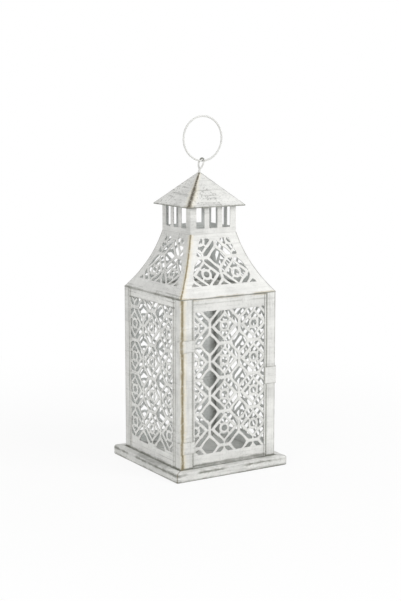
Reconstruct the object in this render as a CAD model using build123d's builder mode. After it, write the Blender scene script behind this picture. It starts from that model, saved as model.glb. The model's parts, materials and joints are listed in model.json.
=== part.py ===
from build123d import *
import math
import os

# A square sheet-metal lantern with pierced sides, a door and a flared hood.
# The origin is the middle of the foot's underside, +Z is up and the door is on the -Y side.
# All sizes are in millimetres.

# Main sizes of the lantern
base_ledge = 10.0
base_height = 10.0
body_width = 115.0
body_height = 174.0
hood_rise = 60.5
hood_hollow = 3.7
neck_width = 56.0
neck_height = 27.3
eave_width = 69.4
roof_rise = 34.0
sheet = 0.8
cut_overrun = 2.0

# Foot
base_corner_radius = 3.0
base_edge_bevel = 1.2
base_inner_bevel = 1.4
base_hem_width = 6.0

# Corner posts, widest where the hinges sit
post_hinge_flange = 14.8
post_latch_flange = 11.2
post_back_flange = 13.0
post_side_flange = 10.5
post_corner_radius = 0.7

# Fretwork: lozenges ringed by four slots, with a rosette in each space between them
cell_pitch = 35.4
lozenge_tip = 9.9
slot_inner = 14.0
slot_outer = 19.3
slot_end_gap = 1.7
rosette_eye_radius = 3.3
petal_tip = 11.6
petal_wing_out = 5.7
petal_wing_side = 5.2
smallest_opening = 2.7

# Raised edges that stiffen the panels and the door
bead_width = 1.8
bead_rise = 0.9

# Fixed panels
panel_bottom_band = 12.0
panel_top_band = 9.5
panel_bead_gap = 1.8
panel_set_back = 1.6
panel_corner_gap = 0.3
panel_lozenge_rise = 13.0

# Door
door_side_gap = 0.4
door_foot_gap = 0.6
door_head_gap = 0.5
door_bottom_band = 12.8
door_top_band = 14.0
door_lozenge_rise = 19.6
door_lozenge_shift = 13.2

# Hinges, wrapped round the front left corner
hinge_height = 12.5
upper_hinge_drop = 47.6
lower_hinge_rise = 22.0
leaf_sheet = 0.6
leaf_stand_off = 0.1
post_leaf_width = 5.5
barrel_radius = 1.3
barrel_sides = 12
barrel_offset = 1.05
pin_radius = 0.6
pin_clearance = 0.05
knuckle_gap = 0.2

# Clasp, a strap from the door round the front right corner
clasp_height = 18.0
clasp_rise = 86.5
clasp_side_leg = 7.0
clasp_side_gap = 0.3
clasp_bend_radius = 0.7
clasp_end_radius = 3.0

# Head frame, an angle ring on the post tops
head_frame_leg = 8.0
head_frame_gap = 0.5

# Hood fretwork
hood_bottom_band = 12.5
hood_top_band = 4.5
hood_side_margin = 11.0
hood_lozenge_rise = 43.0
hood_flats = 4

# Vent slots of the neck
vent_width = 9.6
vent_pitch = 15.5
vent_count = 3
vent_sill = 5.6
vent_height = 21.0

# Roof
eave_lip = 1.0
roof_tip_half = 0.5
eye_hole_radius = 2.0

# Lifting eye of twisted wire, turned by eye_turn from the door side
eye_wire_radius = 0.85
eye_leg_gap = 0.07
eye_width = 5.6
eye_height = 12.1
eye_crossing_rise = 1.7
eye_lean = 3.4
eye_turn = -60.0
eye_foot_reach = 6.0
eye_foot_clearance = 0.1
eye_throat_drop = 2.5
eye_sides = 6
eye_steps = 26
eye_loop_shares = [(0.36, 0.3), (0.5, 0.62), (0.3, 0.92)]

# Carrying ring
ring_radius = 23.0
ring_wire_radius = 1.0
ring_lean = 1.0
ring_rise = 34.0
ring_wire_sides = 6
ring_steps = 36

# Levels and half widths that follow from the sizes above
body_half = body_width / 2
base_width = body_width + 2 * base_ledge
hood_z = base_height + body_height
seat_z = hood_z - sheet
neck_z = hood_z + hood_rise
eave_z = neck_z + neck_height
apex_z = eave_z + roof_rise
neck_half = neck_width / 2
hinge_axis = -(body_half + barrel_offset)
door_left = post_hinge_flange + door_side_gap - body_half
door_right = body_half - post_latch_flange - door_side_gap
door_top_z = seat_z - door_head_gap
door_bottom_z = base_height + door_foot_gap
door_face = body_half - sheet
bead_face = door_face + bead_rise

slot_outline = [
    (slot_end_gap, slot_inner - slot_end_gap),
    (slot_end_gap, slot_outer - slot_end_gap),
    (slot_outer - slot_end_gap, slot_end_gap),
    (slot_inner - slot_end_gap, slot_end_gap),
]
petal_outline = [
    (petal_tip, 0),
    (petal_wing_out, petal_wing_side),
    (petal_wing_out, -petal_wing_side),
]


def finish(part, name):
    """Labels a finished piece and writes it to its own file."""
    part.label = name
    export_step(part, f"parts/{name}.step")


with BuildSketch() as fretwork_cell:
    RegularPolygon(lozenge_tip, 4)
    with PolarLocations(0, 4):
        Polygon(*slot_outline, align=None)
    with Locations((-cell_pitch / 2, -cell_pitch / 2)):
        RegularPolygon(rosette_eye_radius, 6)
        with PolarLocations(0, 4):
            Polygon(*petal_outline, align=None)


def fretwork(window, lozenge_x, lozenge_y):
    """Openings of the fretwork that lie inside a window outline, one lozenge being at lozenge_x, lozenge_y."""
    low_x, high_x = min(x for x, y in window), max(x for x, y in window)
    low_y, high_y = min(y for x, y in window), max(y for x, y in window)
    columns = range(
        math.floor((low_x - lozenge_x) / cell_pitch),
        math.ceil((high_x - lozenge_x) / cell_pitch) + 1,
    )
    rows = range(
        math.floor((low_y - lozenge_y) / cell_pitch),
        math.ceil((high_y - lozenge_y) / cell_pitch) + 1,
    )
    lozenges = [
        (lozenge_x + column * cell_pitch, lozenge_y + row * cell_pitch)
        for column in columns
        for row in rows
    ]
    with BuildSketch() as openings:
        with Locations(*lozenges):
            add(fretwork_cell.sketch)
        Polygon(*window, align=None, mode=Mode.INTERSECT)
    return openings.sketch.faces().filter_by(lambda face: face.area > smallest_opening**2)


def box_outline(low_x, low_y, high_x, high_y):
    """Corners of an upright rectangle."""
    return [(low_x, low_y), (high_x, low_y), (high_x, high_y), (low_x, high_y)]


os.makedirs("parts", exist_ok=True)


# Foot: a pan turned upside down, its edges turned in to a hem underneath
with BuildPart() as base_pan:
    with BuildSketch():
        RectangleRounded(base_width, base_width, base_corner_radius)
    extrude(amount=base_height)
    level_faces = base_pan.faces().filter_by(Axis.Z)
    chamfer(level_faces.edges(), length=base_edge_bevel)
with BuildPart() as base_hollow:
    with BuildSketch(Plane.XY.offset(sheet)):
        Rectangle(base_width - 2 * sheet, base_width - 2 * sheet)
    extrude(amount=base_height - 2 * sheet)
    chamfer(base_hollow.edges(), length=base_inner_bevel)
    with BuildSketch(Plane.XY.offset(-cut_overrun)):
        Rectangle(base_width - 2 * base_hem_width, base_width - 2 * base_hem_width)
    extrude(amount=base_height / 2 + cut_overrun)
finish(base_pan.part - base_hollow.part, "base_pan")


# Corner posts
post_corners = {
    "front_left": (-1, -1, post_hinge_flange),
    "front_right": (1, -1, post_latch_flange),
    "back_left": (-1, 1, post_back_flange),
    "back_right": (1, 1, post_back_flange),
}
for corner, (across, along, flange) in post_corners.items():
    with BuildPart() as post:
        with BuildSketch(Plane.XY.offset(base_height)) as angle_section:
            Polygon(
                (across * body_half, along * body_half),
                (across * (body_half - flange), along * body_half),
                (across * (body_half - flange), along * (body_half - sheet)),
                (across * (body_half - sheet), along * (body_half - sheet)),
                (across * (body_half - sheet), along * (body_half - post_side_flange)),
                (across * body_half, along * (body_half - post_side_flange)),
                align=None,
            )
            fillet(angle_section.vertices().sort_by_distance((0, 0))[-1], radius=post_corner_radius)
        extrude(amount=seat_z - base_height)
    finish(post.part, f"post_{corner}")


# Fixed panels, each behind the flanges of two posts, with two raised edges between them
panel_half = body_half - 2 * sheet - panel_corner_gap


def fixed_panel(face, set_back, flange):
    """A pierced sheet with its raised edges, its pattern moved by set_back along the sheet."""
    bead_out = body_half - flange - panel_bead_gap
    bead_in = bead_out - bead_width
    openings = fretwork(
        box_outline(
            set_back - bead_in,
            base_height + panel_bottom_band,
            set_back + bead_in,
            hood_z - panel_top_band,
        ),
        set_back + cell_pitch / 2,
        base_height + panel_lozenge_rise,
    )
    with BuildPart() as pierced_sheet:
        with BuildSketch(face.offset(body_half - 2 * sheet)):
            Polygon(*box_outline(-panel_half, base_height, panel_half, seat_z), align=None)
            add(openings, mode=Mode.SUBTRACT)
        extrude(amount=sheet)
    with BuildPart() as beads:
        with BuildSketch(face.offset(body_half - sheet)):
            for edge in (set_back - bead_out, set_back + bead_in):
                Polygon(*box_outline(edge, base_height, edge + bead_width, seat_z), align=None)
        extrude(amount=bead_rise)
    return pierced_sheet.part + beads.part


left_panel = fixed_panel(Plane.left, -panel_set_back, post_side_flange)
finish(left_panel, "left_panel")
finish(mirror(left_panel, about=Plane.YZ), "right_panel")
finish(fixed_panel(Plane.back, 0, post_back_flange), "back_panel")


# Door: a pierced sheet between the front posts, with a raised edge on each side
door_openings = fretwork(
    box_outline(
        door_left + bead_width,
        base_height + door_bottom_band,
        door_right - bead_width,
        hood_z - door_top_band,
    ),
    door_lozenge_shift,
    base_height + door_lozenge_rise,
)
with BuildPart() as door_sheet:
    with BuildSketch(Plane.front.offset(door_face - sheet)):
        Polygon(*box_outline(door_left, door_bottom_z, door_right, door_top_z), align=None)
        add(door_openings, mode=Mode.SUBTRACT)
    extrude(amount=sheet)
with BuildPart() as door_beads:
    with BuildSketch(Plane.front.offset(door_face)):
        for edge in (door_left, door_right - bead_width):
            Polygon(*box_outline(edge, door_bottom_z, edge + bead_width, door_top_z), align=None)
    extrude(amount=bead_rise)
finish(door_sheet.part + door_beads.part, "door_panel")


# Hinges: three knuckles on a pin, the outer two on the post leaf and the middle one on the door leaf
def hinge_leaf(bottom, turned, reach, thickness_low, knuckles):
    """One hinge leaf: a strip along the lantern's side with its rolled knuckles round the hinge axis."""
    along = Plane(origin=(0, 0, bottom), x_dir=(0, 1, 0), z_dir=(0, 0, -1)) if turned else Plane.XY.offset(bottom)
    direction = -1 if turned else 1
    knuckle_height = hinge_height / 3
    strip_start = hinge_axis + barrel_radius + knuckle_gap
    with BuildPart() as leaf:
        with BuildSketch(along):
            Polygon(
                *box_outline(strip_start, thickness_low, reach, thickness_low + leaf_sheet),
                align=None,
            )
        extrude(amount=direction * hinge_height)
        for knuckle in knuckles:
            trim = knuckle_gap / 2
            lift = knuckle * knuckle_height + trim
            with BuildSketch(along.offset(direction * lift)):
                Polygon(
                    *box_outline(hinge_axis, thickness_low, strip_start, thickness_low + leaf_sheet),
                    align=None,
                )
                with Locations((hinge_axis, hinge_axis)):
                    RegularPolygon(barrel_radius, barrel_sides)
                    Circle(pin_radius + pin_clearance, mode=Mode.SUBTRACT)
            extrude(amount=direction * (knuckle_height - 2 * trim))
    return leaf.part


hinges = {
    "upper": hood_z - upper_hinge_drop - hinge_height / 2,
    "lower": base_height + lower_hinge_rise - hinge_height / 2,
}
for place, bottom in hinges.items():
    post_leaf_reach = -body_half + post_leaf_width
    post_leaf = hinge_leaf(bottom, True, post_leaf_reach, -body_half - leaf_sheet, (0, 2))
    finish(post_leaf, f"{place}_hinge_post_leaf")
    door_leaf_inside = -body_half - leaf_stand_off - leaf_sheet
    door_leaf = hinge_leaf(bottom, False, door_left + bead_width, door_leaf_inside, (1,))
    finish(door_leaf, f"{place}_hinge_door_leaf")
    with BuildPart() as pin:
        with BuildSketch(Plane.XY.offset(bottom)):
            with Locations((hinge_axis, hinge_axis)):
                Circle(pin_radius)
        extrude(amount=hinge_height)
    finish(pin.part, f"{place}_hinge_pin")


# Clasp: a strap on the door's edge, bent back along the right side
clasp_outside = body_half + clasp_side_gap + sheet
clasp_face = bead_face + sheet
clasp_end_y = -body_half + clasp_side_leg
with BuildPart() as door_clasp:
    with BuildSketch(Plane.XY.offset(base_height + clasp_rise - clasp_height / 2)) as strap:
        Polygon(
            (door_right - bead_width, -clasp_face),
            (clasp_outside, -clasp_face),
            (clasp_outside, clasp_end_y),
            (clasp_outside - sheet, clasp_end_y),
            (clasp_outside - sheet, -bead_face),
            (door_right - bead_width, -bead_face),
            align=None,
        )
        bend = strap.vertices().sort_by(Axis.X)[-2:].sort_by(Axis.Y)[0]
        fillet(bend, radius=clasp_bend_radius)
    extrude(amount=clasp_height)
    free_end = door_clasp.faces().sort_by(Axis.Y)[-1]
    fillet(free_end.edges().filter_by(Axis.X), radius=clasp_end_radius)
finish(door_clasp.part, "door_clasp")


# Head frame: a flat ring on the post tops with a leg hanging behind the panels and the door
leg_outside = 2 * (door_face - sheet - head_frame_gap)
with BuildPart() as head_frame:
    with BuildSketch(Plane.XY.offset(seat_z)):
        Rectangle(body_width, body_width)
        Rectangle(leg_outside - 2 * sheet, leg_outside - 2 * sheet, mode=Mode.SUBTRACT)
    extrude(amount=sheet)
    with BuildSketch(Plane.XY.offset(seat_z)):
        Rectangle(leg_outside, leg_outside)
        Rectangle(leg_outside - 2 * sheet, leg_outside - 2 * sheet, mode=Mode.SUBTRACT)
    extrude(amount=-head_frame_leg)
finish(head_frame.part, "head_frame")


# Hood: four pierced sheets, bent to a hollow curve in several flats and mitred at the corners
slope_run = body_half - neck_half
slope_length = math.hypot(slope_run, hood_rise)
slope_angle = math.atan2(hood_rise, slope_run)
half_turn = 2 * math.atan(2 * hood_hollow / slope_length)
bend_radius = slope_length / (2 * math.sin(half_turn))


hood_angles = [
    slope_angle - half_turn + 2 * half_turn * flat / hood_flats
    for flat in range(hood_flats + 1)
]
curve_centre_out = body_half + bend_radius * math.sin(hood_angles[0])
curve_centre_z = hood_z + bend_radius * math.cos(hood_angles[0])
hood_face = [
    (curve_centre_out - bend_radius * math.sin(angle), curve_centre_z - bend_radius * math.cos(angle))
    for angle in hood_angles
]
hood_inside = [
    (out - sheet / math.sin(angle), height)
    for (out, height), angle in zip(hood_face, hood_angles)
]
window_bottom_half = body_half - slope_run * hood_bottom_band / slope_length - hood_side_margin
window_top_half = neck_half + slope_run * hood_top_band / slope_length - hood_side_margin
hood_openings = fretwork(
    [
        (-window_bottom_half, hood_bottom_band),
        (window_bottom_half, hood_bottom_band),
        (window_top_half, slope_length - hood_top_band),
        (-window_top_half, slope_length - hood_top_band),
    ],
    0,
    hood_lozenge_rise,
)
outward = Plane.front.z_dir
uphill = (Vector(0, 0, hood_rise) - outward * slope_run) / slope_length
profile_plane = Plane(origin=(0, 0, 0), x_dir=outward, z_dir=outward.cross(Vector(0, 0, 1)))
slope_plane = Plane(
    origin=outward * body_half + Vector(0, 0, hood_z),
    x_dir=Plane.front.x_dir,
    z_dir=Plane.front.x_dir.cross(uphill),
)
mitre_reach = body_half + cut_overrun
with BuildPart() as hood_panel:
    with BuildSketch(profile_plane):
        Polygon(*hood_face, *reversed(hood_inside), align=None)
    extrude(amount=mitre_reach, both=True)
    with BuildSketch(Plane.XY.offset(hood_z - cut_overrun)):
        Polygon((0, 0), (-mitre_reach, -mitre_reach), (mitre_reach, -mitre_reach), align=None)
    extrude(amount=hood_rise + 2 * cut_overrun, mode=Mode.INTERSECT)
    with BuildSketch(slope_plane):
        add(hood_openings)
    extrude(amount=hood_hollow + cut_overrun, both=True, mode=Mode.SUBTRACT)
for turn, side in enumerate(("front", "right", "back", "left")):
    finish(hood_panel.part.rotate(Axis.Z, turn * 90), f"hood_panel_{side}")


# Neck: a square tube with upright vent slots, standing on the hood and reaching up under the roof
eave_half = eave_width / 2
roof_slope = (roof_rise - eave_lip) / (eave_half - roof_tip_half)
roof_taper = 90 - math.degrees(math.atan(roof_slope))
roof_drop = sheet * math.hypot(1, roof_slope)
roof_inside_z = eave_z + eave_lip + eave_half * roof_slope - roof_drop
gallery_top_z = roof_inside_z - neck_half * roof_slope
with BuildPart() as vent_gallery:
    with BuildSketch(Plane.XY.offset(neck_z)):
        Rectangle(neck_width, neck_width)
        Rectangle(neck_width - 2 * sheet, neck_width - 2 * sheet, mode=Mode.SUBTRACT)
    extrude(amount=gallery_top_z - neck_z)
    for face in (Plane.front, Plane.right):
        with BuildSketch(face):
            with Locations((0, neck_z + vent_sill + vent_height / 2)):
                with GridLocations(vent_pitch, vent_pitch, vent_count, 1):
                    Rectangle(vent_width, vent_height)
        extrude(amount=neck_half + cut_overrun, both=True, mode=Mode.SUBTRACT)
finish(vent_gallery.part, "vent_gallery")


# Roof: a pyramid of one folded sheet with a small lip at the eaves and a hole for the eye
with BuildPart() as roof_cap:
    for half, bottom, mode in (
        (eave_half, eave_z, Mode.ADD),
        (eave_half - sheet, eave_z - roof_drop + sheet * roof_slope, Mode.SUBTRACT),
    ):
        with BuildSketch(Plane.XY.offset(bottom)):
            Rectangle(2 * half, 2 * half)
        extrude(amount=eave_lip, mode=mode)
        with BuildSketch(Plane.XY.offset(bottom + eave_lip)):
            Rectangle(2 * half, 2 * half)
        extrude(amount=(half - roof_tip_half) * roof_slope, taper=roof_taper, mode=mode)
    with BuildSketch(Plane.XY.offset(eave_z)):
        RegularPolygon(eye_hole_radius, 8)
    extrude(amount=2 * roof_rise, mode=Mode.SUBTRACT)
finish(roof_cap.part, "roof_cap")


# Lifting eye: one wire whose legs cross below the loop, pass the roof's tip and spread under it
leg_spread = eye_wire_radius + eye_leg_gap
crossing_z = apex_z + eye_crossing_rise
eye_plane = Plane(origin=(0, 0, 0), x_dir=Vector(1, 0, 0).rotate(Axis.Z, eye_turn), z_dir=(0, 0, 1))
foot_run = eye_foot_reach * max(abs(eye_plane.x_dir.X), abs(eye_plane.x_dir.Y))
foot_drop = (eye_wire_radius + eye_foot_clearance) * roof_drop / sheet
foot_z = roof_inside_z - foot_run * roof_slope - foot_drop
first_half = [
    (-eye_foot_reach, 0, foot_z),
    (-leg_spread, 0, apex_z - eye_throat_drop),
    (0, -leg_spread, crossing_z),
]
first_half += [
    (across_share * eye_width, 0, crossing_z + rise_share * eye_height)
    for across_share, rise_share in eye_loop_shares
]
eye_top = (0, 0, crossing_z + eye_height)
second_half = [(-across, -along, height) for across, along, height in reversed(first_half)]
eye_route = [
    eye_plane.from_local_coords(Vector(*point))
    + Vector(eye_lean * max(0, point[2] - apex_z) / eye_height, 0, 0)
    for point in [*first_half, eye_top, *second_half]
]
with BuildPart() as lifting_eye:
    with BuildLine() as wire_line:
        curve = Spline(*eye_route, mode=Mode.PRIVATE)
        Polyline(*[curve @ (step / eye_steps) for step in range(eye_steps + 1)])
    with BuildSketch(Plane(origin=wire_line.line @ 0, z_dir=wire_line.line % 0)):
        RegularPolygon(eye_wire_radius, eye_sides)
    sweep(transition=Transition.RIGHT)
finish(lifting_eye.part, "lifting_eye")


# Carrying ring, standing upright through the eye
ring_z = apex_z + ring_rise
ring_x = eye_lean + ring_lean
ring_line_radius = ring_radius / math.cos(math.pi / ring_steps)
with BuildPart() as carry_ring:
    with BuildLine(Plane((ring_x, 0, ring_z), x_dir=(1, 0, 0), z_dir=(0, -1, 0))) as ring_line:
        corners = [
            (
                ring_line_radius * math.cos(2 * math.pi * (step + 1 / 2) / ring_steps),
                ring_line_radius * math.sin(2 * math.pi * (step + 1 / 2) / ring_steps),
            )
            for step in range(ring_steps)
        ]
        Polyline((ring_radius, 0), *corners, (ring_radius, 0))
    with BuildSketch(Plane.XY.offset(ring_z)):
        with Locations((ring_x + ring_radius, 0)):
            RegularPolygon(ring_wire_radius, ring_wire_sides)
    sweep(transition=Transition.RIGHT)
finish(carry_ring.part, "carry_ring")
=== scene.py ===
"""Looks of the punched tin lantern: pierced sheets, folded posts, hood, roof, wire and whitewash."""

import json
import math
from typing import NamedTuple

import bpy
import numpy as np
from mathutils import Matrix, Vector
from mathutils.geometry import delaunay_2d_cdt


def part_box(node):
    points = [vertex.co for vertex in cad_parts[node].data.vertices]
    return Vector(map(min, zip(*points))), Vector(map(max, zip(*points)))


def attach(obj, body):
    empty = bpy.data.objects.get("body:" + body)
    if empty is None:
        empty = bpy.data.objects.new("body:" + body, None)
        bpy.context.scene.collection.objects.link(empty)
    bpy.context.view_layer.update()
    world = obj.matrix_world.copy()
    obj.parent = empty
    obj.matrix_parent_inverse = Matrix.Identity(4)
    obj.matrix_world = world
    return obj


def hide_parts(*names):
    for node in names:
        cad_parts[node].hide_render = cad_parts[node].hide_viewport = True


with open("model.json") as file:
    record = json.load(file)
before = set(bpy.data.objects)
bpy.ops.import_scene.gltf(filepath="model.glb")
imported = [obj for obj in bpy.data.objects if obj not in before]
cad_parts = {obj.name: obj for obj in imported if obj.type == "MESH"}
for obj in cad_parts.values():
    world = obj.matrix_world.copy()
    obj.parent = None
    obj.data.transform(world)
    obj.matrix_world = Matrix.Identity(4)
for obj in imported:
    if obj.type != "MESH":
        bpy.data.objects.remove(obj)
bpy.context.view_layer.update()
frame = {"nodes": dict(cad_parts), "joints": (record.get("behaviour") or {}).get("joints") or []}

bl_info = {
    "name": "Punched Tin Lantern",
    "version": (1, 0, 0),
    "blender": (4, 5, 0),
    "location": "View3D > Sidebar > Lantern",
    "description": "Builds a whitewashed tin lantern with fretwork sides round its packed frame",
    "category": "Add Mesh",
}

MM = 0.001


def top_of(node):
    """Highest corner of a node's box."""
    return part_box(node)[1]


def foot_of(node):
    """Lowest corner of a node's box."""
    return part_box(node)[0]


# Sizes and colours that a user would change


class LanternSizes(bpy.types.PropertyGroup):
    """Sizes of the sheets and wires that a user would change."""

    sheet: bpy.props.FloatProperty(
        name="Sheet", description="Thickness of the tin sheet", default=0.8 * MM, unit="LENGTH")
    edge_round: bpy.props.FloatProperty(
        name="Edge Round", description="Rounding of the cut edges under the paint",
        default=0.16 * MM, unit="LENGTH")
    cell_pitch: bpy.props.FloatProperty(
        name="Cell Pitch", description="Distance between two lozenges of the fretwork",
        default=35.4 * MM, unit="LENGTH")
    bead_width: bpy.props.FloatProperty(
        name="Bead Width", description="Width of the raised edges on panels and door",
        default=1.8 * MM, unit="LENGTH")
    bead_rise: bpy.props.FloatProperty(
        name="Bead Rise", description="Height of the raised edges", default=0.9 * MM, unit="LENGTH")
    hood_hollow: bpy.props.FloatProperty(
        name="Hood Hollow", description="How far the hood's curve lies behind its chord",
        default=3.7 * MM, unit="LENGTH")
    unevenness: bpy.props.FloatProperty(
        name="Unevenness", description="How far hand-bent sheet strays from flat",
        default=0.16 * MM, unit="LENGTH")


class LanternFinish(bpy.types.PropertyGroup):
    """Colours of the paint and of what shows through it."""

    whitewash: bpy.props.FloatVectorProperty(
        name="Whitewash", description="Colour of the paint", subtype="COLOR", size=3,
        default=(0.80, 0.80, 0.775))
    streak: bpy.props.FloatVectorProperty(
        name="Streak", description="Grey of the brushed streaks", subtype="COLOR", size=3,
        default=(0.36, 0.36, 0.34))
    worn_edge: bpy.props.FloatVectorProperty(
        name="Worn Edge", description="Brown of rubbed corners", subtype="COLOR", size=3,
        default=(0.235, 0.195, 0.110))
    worn_halo: bpy.props.FloatVectorProperty(
        name="Worn Halo", description="Cream beside the rubbed corners", subtype="COLOR", size=3,
        default=(0.79, 0.72, 0.55))
    # Grey green of dirt in the seams, also used as painted shade: in seams under overhangs, in the inner
    # corners and on cut edges
    grime_and_shade: bpy.props.FloatVectorProperty(
        name="Grime", description="Grey green in the seams", subtype="COLOR", size=3,
        default=(0.15, 0.155, 0.125))
    seam_tan: bpy.props.FloatVectorProperty(
        name="Seam Tan", description="Tan in the seam over the door", subtype="COLOR", size=3,
        default=(0.40, 0.33, 0.19))
    # Bluish grey that the inner faces take as painted shade inside the lantern
    inside: bpy.props.FloatVectorProperty(
        name="Inside", description="Bluish grey of the sheet's inner face", subtype="COLOR", size=3,
        default=(0.80, 0.82, 0.81))


# Points and ripples of the meshes

CLOSE_POINTS = 0.02 * MM
CLOSE_OUTLINE_POINTS = 0.04 * MM
SHEET_SPACING = 3.0 * MM
RIPPLE_SIZE = 80.0 * MM
POST_RIPPLE_SIZE = 90.0 * MM
RIPPLE_FADE = 20.0 * MM
LARGEST_CORNER_SHARE = 0.45
SHARPEST_MITRE = 0.4

# Shares of the cell pitch that shape the fretwork, measured from the middle of a lozenge or a rosette

LOZENGE_TIP_SHARE = 0.2655
LOZENGE_BULGE_SHARE = 0.0202
SLOT_INNER_SHARE = 0.395
SLOT_OUTER_SHARE = 0.545
SLOT_STEP_SHARE = 0.028
SLOT_END_SHARE = 0.048
SLOT_REACH_SHARE = 0.480
SLOT_ROUND_SHARE = 0.020
SLOT_KEEN_SHARE = 0.0001
ROSETTE_EYE_SHARE = 0.093
ROSETTE_RING_SHARE = 0.172
PETAL_TIP_SHARE = 0.328
PETAL_SPOKE_SHARE = 0.038
PETAL_ROUND_SHARE = 0.014

# Where the outer edge of a slot starts to step outwards, and how long the step is, as shares of its reach
STEP_START_SHARE = 0.42
STEP_RUN_SHARE = 0.16

# Openings with less area than this, in square metres, are left uncut
SMALLEST_OPENING = 5.8e-6


# Outlines in the sheet's plane


def clean_outline(points, least=CLOSE_POINTS):
    """Drops points that lie closer than least to the next one."""
    points = np.asarray(points, float)
    keep = np.linalg.norm(np.roll(points, -1, 0) - points, axis=1) > least
    return points[keep]


def area_of(points):
    """Signed area of a closed outline, positive when it runs anticlockwise."""
    x, y = points[:, 0], points[:, 1]
    return 0.5 * float(np.sum(x * np.roll(y, -1) - y * np.roll(x, -1)))


def divided(points, longest):
    """Puts points on each side of a closed outline so that none is longer than longest."""
    points = np.asarray(points, float)
    after = np.roll(points, -1, 0)
    counts = np.maximum(1, np.ceil(np.linalg.norm(after - points, axis=1) / longest)).astype(int)
    start = np.repeat(points, counts, 0)
    way = np.repeat(after - points, counts, 0)
    step = np.concatenate([np.arange(n) / n for n in counts])
    return start + way * step[:, None]


def rounded(points, radii, steps=4):
    """Rounds corners with quadratic curves.

    Each curve starts and ends its corner's radius away, but never further than a share of the shorter
    side."""
    points = np.asarray(points, float)
    radii = np.broadcast_to(np.asarray(radii, float), (len(points),))
    back = np.roll(points, 1, 0) - points
    ahead = np.roll(points, -1, 0) - points
    back_length = np.linalg.norm(back, axis=1)
    ahead_length = np.linalg.norm(ahead, axis=1)
    cut = np.minimum(radii, LARGEST_CORNER_SHARE * np.minimum(back_length, ahead_length))
    first = points + back / back_length[:, None] * cut[:, None]
    last = points + ahead / ahead_length[:, None] * cut[:, None]
    t = np.linspace(0, 1, steps + 1)[None, :, None]
    curve = (1 - t) ** 2 * first[:, None] + 2 * t * (1 - t) * points[:, None] + t ** 2 * last[:, None]
    return clean_outline(curve.reshape(-1, points.shape[1]))


def clipped(points, window):
    """Part of a closed outline inside a convex anticlockwise window, cut by one side of it after another."""
    for start, end in zip(window, np.roll(window, -1, 0)):
        if not len(points):
            break
        normal = np.array([start[1] - end[1], end[0] - start[0]])
        depth = (points - start) @ normal
        after = np.roll(points, -1, 0)
        depth_after = np.roll(depth, -1)
        kept = []
        for here, there, d, e in zip(points, after, depth, depth_after):
            if d >= 0:
                kept.append(here)
            if (d >= 0) != (e >= 0):
                kept.append(here + (there - here) * d / (d - e))
        points = np.array(kept)
    return points


def box_outline(low_x, low_y, high_x, high_y):
    """Corners of an upright rectangle, anticlockwise."""
    return np.array([(low_x, low_y), (high_x, low_y), (high_x, high_y), (low_x, high_y)])


def quarter_copies(points):
    """An outline and its copies turned by one, two and three quarters."""
    turns = [np.array([[c, s], [-s, c]]) for c, s in ((1, 0), (0, 1), (-1, 0), (0, -1))]
    return [points @ turn for turn in turns]


def lozenge_outline(per_side=10):
    """Four bowed sides, each a straight line moved outwards by a squared sine of its share of the way."""
    q = np.arange(per_side) / per_side
    side = np.stack([LOZENGE_TIP_SHARE * (1 - q), LOZENGE_TIP_SHARE * q], 1)
    side += LOZENGE_BULGE_SHARE * math.sqrt(0.5) * (np.sin(math.pi * q) ** 2)[:, None]
    return np.concatenate(quarter_copies(side))


def slot_outline(mirrored, per_side=12):
    """A slanted band between two lines x + y = s; the outer one steps outwards half way to the level tip."""
    near = SLOT_OUTER_SHARE - SLOT_REACH_SHARE
    x = np.linspace(near, SLOT_REACH_SHARE, per_side)
    t = np.clip((x / SLOT_OUTER_SHARE - STEP_START_SHARE) / STEP_RUN_SHARE, 0, 1)
    outer = np.stack([x, SLOT_OUTER_SHARE + SLOT_STEP_SHARE * t * t * (3 - 2 * t) - x], 1)
    inner_end = SLOT_INNER_SHARE - SLOT_END_SHARE
    ring = np.concatenate([
        [[SLOT_END_SHARE, inner_end], [SLOT_END_SHARE, SLOT_REACH_SHARE]],
        outer,
        [[SLOT_REACH_SHARE, SLOT_END_SHARE], [inner_end, SLOT_END_SHARE]]])
    radii = np.full(len(ring), SLOT_KEEN_SHARE)
    radii[[0, 1, 2, -3, -2, -1]] = SLOT_ROUND_SHARE
    band = rounded(ring, radii, 3)
    return band * np.array([-1, 1]) if mirrored else band


def petal_outline(per_arc=8):
    """Two straight sides that meet at the tip, and a hollow side that follows the rosette's ring."""
    wing_x = (PETAL_TIP_SHARE + PETAL_SPOKE_SHARE) / 2
    root_x = (PETAL_SPOKE_SHARE + math.sqrt(2 * ROSETTE_RING_SHARE ** 2 - PETAL_SPOKE_SHARE ** 2)) / 2
    root_angle = math.atan2(root_x - PETAL_SPOKE_SHARE, root_x)
    angles = np.linspace(-root_angle, root_angle, per_arc)
    arc = ROSETTE_RING_SHARE * np.stack([np.cos(angles), np.sin(angles)], 1)
    wing = np.array([[wing_x, PETAL_TIP_SHARE - wing_x]])
    corners = np.concatenate([[[PETAL_TIP_SHARE, 0]], wing, arc[::-1], wing * [1, -1]])
    return rounded(corners, PETAL_ROUND_SHARE, 2)


def round_outline(radius, steps):
    """A circle."""
    angles = np.arange(steps) * 2 * math.pi / steps
    return radius * np.stack([np.cos(angles), np.sin(angles)], 1)


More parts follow.
